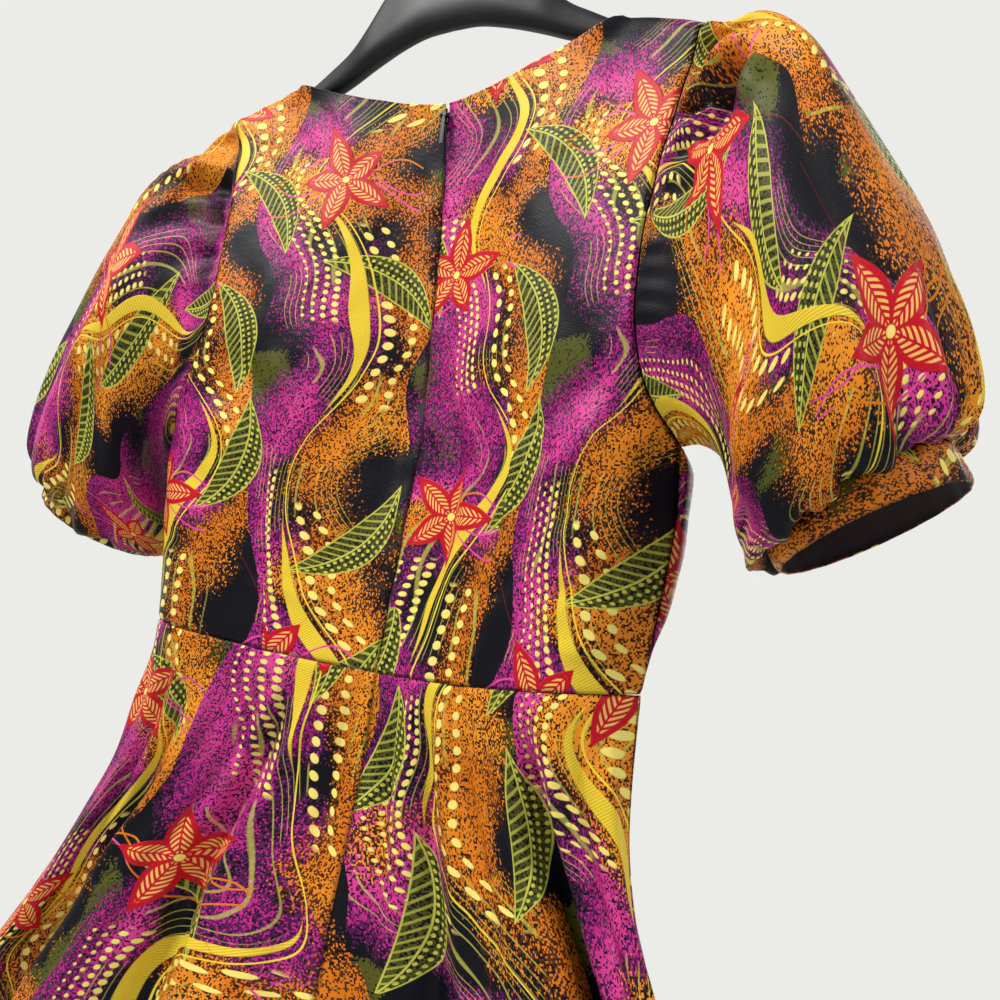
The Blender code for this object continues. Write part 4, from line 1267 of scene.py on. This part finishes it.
def make_cloth():
    """Every cloth piece."""
    group = jacquard_group()
    inside = lining()
    made = {}

    def add(node, offset, grid, cloth, seam, turn=0.0, **options):
        look = jacquard("jacquard " + node, group, offset, turn)
        made[node] = shell(node + "_cloth", grid, cloth, seam, (look, inside), **options)
        own(made[node], node)

    backs = [bodice_half(back_point, BACK_DART, BACK_CREASES, side) for side in (1, -1)]
    for name, side, part, offset in (
        ("right", 1, backs[0], (0.031, 0.055)),
        ("left", -1, backs[1], (0.262, 0.055)),
    ):
        grid, cloth, seam, shifts = (values[:, ::side] for values in part)
        grid = hung(grid * (side, 1.0, 1.0))
        grid[0, :, 1] -= SEAM_GAP / 2
        add("bodice_back_" + name, offset, grid, cloth, seam, shifts=shifts)
    right, left = (bodice_half(front_point, FRONT_DART, FRONT_CREASES, side) for side in (1, -1))
    grid, cloth, seam = (
        np.concatenate((one[:, ::-1], other[:, 1:]), axis=1)
        for one, other in zip(right, (left[0] * (-1.0, 1.0, 1.0), left[1], left[2]))
    )
    grid = hung(grid)
    grid[0, :, 1] += SEAM_GAP / 2
    shifts = np.concatenate((right[3][:, ::-1], left[3]), axis=1)
    add("bodice_front", (0.480, 0.130), grid, cloth, seam, shifts=shifts)
    for node, start, end, columns, offset in (
        ("skirt_back_right", 0.0, 1.0, 92, (0.110, 0.620)),
        ("skirt_front", 1.0, 3.0, 150, (0.720, 0.300)),
        ("skirt_back_left", 3.0, 4.0, 92, (0.395, 0.480)),
    ):
        grid, cloth, seam = skirt_panel(start, end, columns)
        add(node, offset, hung(grid), cloth, seam)
    loop, ways = armhole_loop(backs[0][0], right[0])
    angles = loop_angles(loop, len(ARM_ROWS) - 1)
    free = smooth(SLEEVE_ROWS, 0.0, 0.5)
    for name, side, swing, seed, tucked, offset in (
        ("right", 1, (0.0, 0.0, 0.0), 0.0, 1.0, (0.205, 0.910)),
        ("left", -1, LEFT_SLEEVE_SWING, 1.3, 0.3, (0.590, 0.770)),
    ):
        grid, cloth, seam, cuff, band, cuff_seam = sleeve_parts(loop, ways, angles, seed, tucked)
        grid = (grid + free[:, None, None] * np.array(swing)) * (side, 1.0, 1.0)
        cuff = (cuff + np.array(swing)) * (side, 1.0, 1.0)
        ring = {"closed": True, "out": -1.0 * side}
        add("sleeve_" + name, offset, hung(grid, 1.0 - free), cloth, seam, **ring)
        offset = (offset[0] + CUFF_OFFSET[0], offset[1] + CUFF_OFFSET[1])
        add("cuff_" + name, offset, cuff, band, cuff_seam, turn=90.0, **ring)
    return made


def centre_back(drop):
    """y of the outside at the centre back, on the bodice and on the skirt."""
    waist = waist_drop(0.0)
    top = float(top_drop(np.array(0.0), BACK_NECK_DROP, BACK_NECK_POWER))
    share = np.clip((drop - top) / (waist - top), 0.0, 1.0)
    back = back_point(np.zeros_like(drop), share * WAIST_DROP)[1]
    skirt = skirt_point(np.zeros_like(drop), np.maximum(drop - waist, 0.0))[1]
    return np.where(drop <= waist, back, skirt)


def make_zip():
    """The coil's teeth on both tapes, and better finishes for the zip's own solids."""
    top = BACK_NECK_DROP - NECK_RISE + 0.003
    drops = np.arange(top, top + ZIP_LENGTH - 0.004, TOOTH_PITCH)
    y = centre_back(drops) + WALL + SEAM_GAP + 0.0004
    look = nylon()
    wide, tall, deep = TOOTH_SIZE
    for side, name in ((1, "right"), (-1, "left")):
        points, faces = [], []
        for drop, depth in zip(drops, y):
            start = zip_parting(drop) - 0.0001
            base = len(points)
            for lean, at, rise in ((0.0, 0.0, 0.0002), (0.35, 0.5, 0.0), (0.0, 1.0, 0.0)):
                x = side * (start + at * wide)
                for dy, dz in ((-deep, 0), (0, tall), (deep, 0), (0, -tall)):
                    lower = -TIP_DROP - drop + dz * (1.0 + lean) + rise
                    points.append((x, depth + HANG_Y + 0.0012 + dy * (0.7 + lean), lower))
            for ring in (0, 4):
                for j in range(4):
                    a, b = base + ring + j, base + ring + (j + 1) % 4
                    faces.append((a, b, b + 4, a + 4))
            faces += [tuple(base + j for j in range(3, -1, -1)), tuple(base + 8 + j for j in range(4))]
        grid = hung(np.array(points)[None])[0]
        teeth = plain_mesh(f"zip_teeth_{name}", grid, faces, look)
        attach(teeth, "garment")
    tape = tape_cloth()
    black = metal("zip lacquer", (0.030, 0.030, 0.034), 0.22)
    for node, material in (
        ("zip_tape_left", tape),
        ("zip_tape_right", tape),
        ("zip_slider", black),
        ("zip_pull", black),
    ):
        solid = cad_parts[node]
        for slot in solid.material_slots:
            slot.material = material


def make_hanger():
    """The moulded hanger and its chromed hook."""
    steps = 56
    end = HANGER[-1][0]
    half = np.concatenate((np.linspace(0.0, 0.085, 30), np.linspace(0.088, 0.1775, 34), (end,)))
    stations = np.concatenate((-half[:0:-1], half))
    top, bottom, y, depth = (read(HANGER, column, np.abs(stations)) for column in range(1, 5))
    turn = np.linspace(0.0, 2 * math.pi, steps, endpoint=False)[None]
    across = np.copysign(np.abs(np.sin(turn)) ** 0.75, np.sin(turn))
    upright = np.copysign(np.abs(np.cos(turn)) ** 0.75, np.cos(turn))
    middle, height = ((top + bottom) / 2)[:, None], ((bottom - top) / 2)[:, None]
    closing = np.sqrt(np.clip((end + 0.0002 - np.abs(stations)) / 0.004, 0.02, 1.0))[:, None]
    width = depth[:, None] * across * closing
    hollow = 1.0 - 0.16 * bell(np.cos(turn) / 0.42) * smooth(height, 0.012, 0.03)
    points = place(stations[:, None], y[:, None] + width * hollow, middle - height * upright * closing)
    rows = len(stations)
    order = np.arange(rows * steps).reshape(rows, steps)
    beside = np.roll(order, -1, axis=1)
    faces = np.stack((order[:-1], beside[:-1], beside[1:], order[1:]), axis=-1).reshape(-1, 4)
    faces = faces.tolist() + [order[0][::-1].tolist(), order[-1].tolist()]
    look = plastic()
    own(plain_mesh("hanger_moulding", points.reshape(-1, 3), faces, look), "hanger_body")
    radius = HOOK_INNER + HOOK_ROD
    foot = -TIP_DROP - HANGER[0][1] + SEAM_GAP
    path = [(0.0, foot), (0.0, foot + HOOK_STEM_FOOT), (0.0, -HOOK_STEM_TOP)]
    for degrees in range(-65, 201, 4):
        angle = math.radians(degrees)
        path.append((radius * math.cos(angle), -HOOK_INNER + radius * math.sin(angle)))
    curve = bpy.data.curves.new("hook_rod", "CURVE")
    curve.dimensions = "3D"
    curve.bevel_depth = HOOK_ROD
    curve.bevel_resolution = 6
    curve.use_fill_caps = True
    spline = curve.splines.new("POLY")
    spline.points.add(len(path) - 1)
    for point, (x, z) in zip(spline.points, path):
        point.co = (x, 0.0, z, 1.0)
    spline.use_smooth = True
    curve.materials.append(metal("hook chrome", (0.62, 0.62, 0.64), 0.12))
    own(linked("hook_rod", curve), "hanger_hook")


# The set


PALE = (0.80, 0.80, 0.78, 1.0)
WALL_GLOW = (0.835, 0.835, 0.800, 1.0)
FLOOR_RADIUS = 2.3
FLOOR_LEVEL = -1.50
WALL_RADIUS = 2.2
WALL_TOP = 1.6
# Columns: name, place, size, power, colour. All point at the middle of the garment.
LIGHTS = [
    ("key", (-0.75, -1.05, 1.00), 0.6, 46.0, (1.0, 0.98, 0.95)),
    ("fill", (1.6, -0.8, 0.7), 0.8, 17.0, (1.0, 1.0, 1.0)),
    ("front", (0.3, 1.6, 0.2), 1.4, 8.0, (1.0, 1.0, 1.0)),
]
LIGHT_AIM = (0.0, 0.0, -0.5)
# Camera: yaw, pitch and roll in degrees, place, lens in mm
CAMERA_TURN = (27.254, 8.299, 5.7)
CAMERA_PLACE = (0.3365, -0.50729, -0.55005)
CAMERA_LENS = 34.06


def area_light(name, at, size, energy, colour):
    data = bpy.data.lights.new(name, "AREA")
    data.size = size
    data.energy = energy
    data.color = colour
    made = linked(name, data)
    made.location = at
    way = Vector(LIGHT_AIM) - Vector(at)
    made.rotation_euler = way.to_track_quat("-Z", "Y").to_euler()


def make_set():
    """Pale floor and surroundings, soft light, and the camera."""
    radius, level, count = FLOOR_RADIUS, FLOOR_LEVEL, 96
    turns = [2 * math.pi * k / count for k in range(count)]
    rim = [(radius * math.cos(turn), radius * math.sin(turn), level) for turn in turns]
    faces = [(0, k + 1, (k + 1) % count + 1) for k in range(count)]
    pale, _, shader = bare_material("floor")
    shader.inputs["Base Color"].default_value = PALE
    shader.inputs["Roughness"].default_value = 0.8
    plain_mesh("floor", [(0.0, 0.0, level), *rim], faces, pale)

    backdrop, _, shader = bare_material("backdrop")
    shader.inputs["Base Color"].default_value = (0.0, 0.0, 0.0, 1.0)
    shader.inputs["Specular IOR Level"].default_value = 0.0
    shader.inputs["Emission Color"].default_value = WALL_GLOW
    shader.inputs["Emission Strength"].default_value = 1.0
    turns = [math.radians(degrees) for degrees in range(35, 196, 5)]
    radius = WALL_RADIUS
    points = [
        (radius * math.cos(turn), radius * math.sin(turn), z) for z in (level, WALL_TOP) for turn in turns
    ]
    wide = len(turns)
    faces = [(k, k + 1, k + 1 + wide, k + wide) for k in range(wide - 1)]
    plain_mesh("backdrop", points, faces, backdrop)

    world = bpy.data.worlds.new("studio")
    bpy.context.scene.world = world
    world.use_nodes = True
    background = world.node_tree.nodes["Background"]
    background.inputs["Color"].default_value = PALE
    background.inputs["Strength"].default_value = 0.50
    for light in LIGHTS:
        area_light(*light)
    bpy.context.scene.view_settings.view_transform = "Standard"

    data = bpy.data.cameras.new("camera")
    data.lens = CAMERA_LENS
    data.sensor_width = 36.0
    data.clip_start = 0.01
    camera = linked("camera", data)
    yaw, pitch, roll = (math.radians(value) for value in CAMERA_TURN)
    aimed = Matrix.Rotation(yaw, 4, "Z") @ Matrix.Rotation(math.pi / 2 + pitch, 4, "X")
    aimed = aimed @ Matrix.Rotation(roll, 4, "Z")
    camera.matrix_world = Matrix.Translation(CAMERA_PLACE) @ aimed
    bpy.context.scene.camera = camera


cloth_pieces = make_cloth()
make_zip()
make_hanger()
make_set()
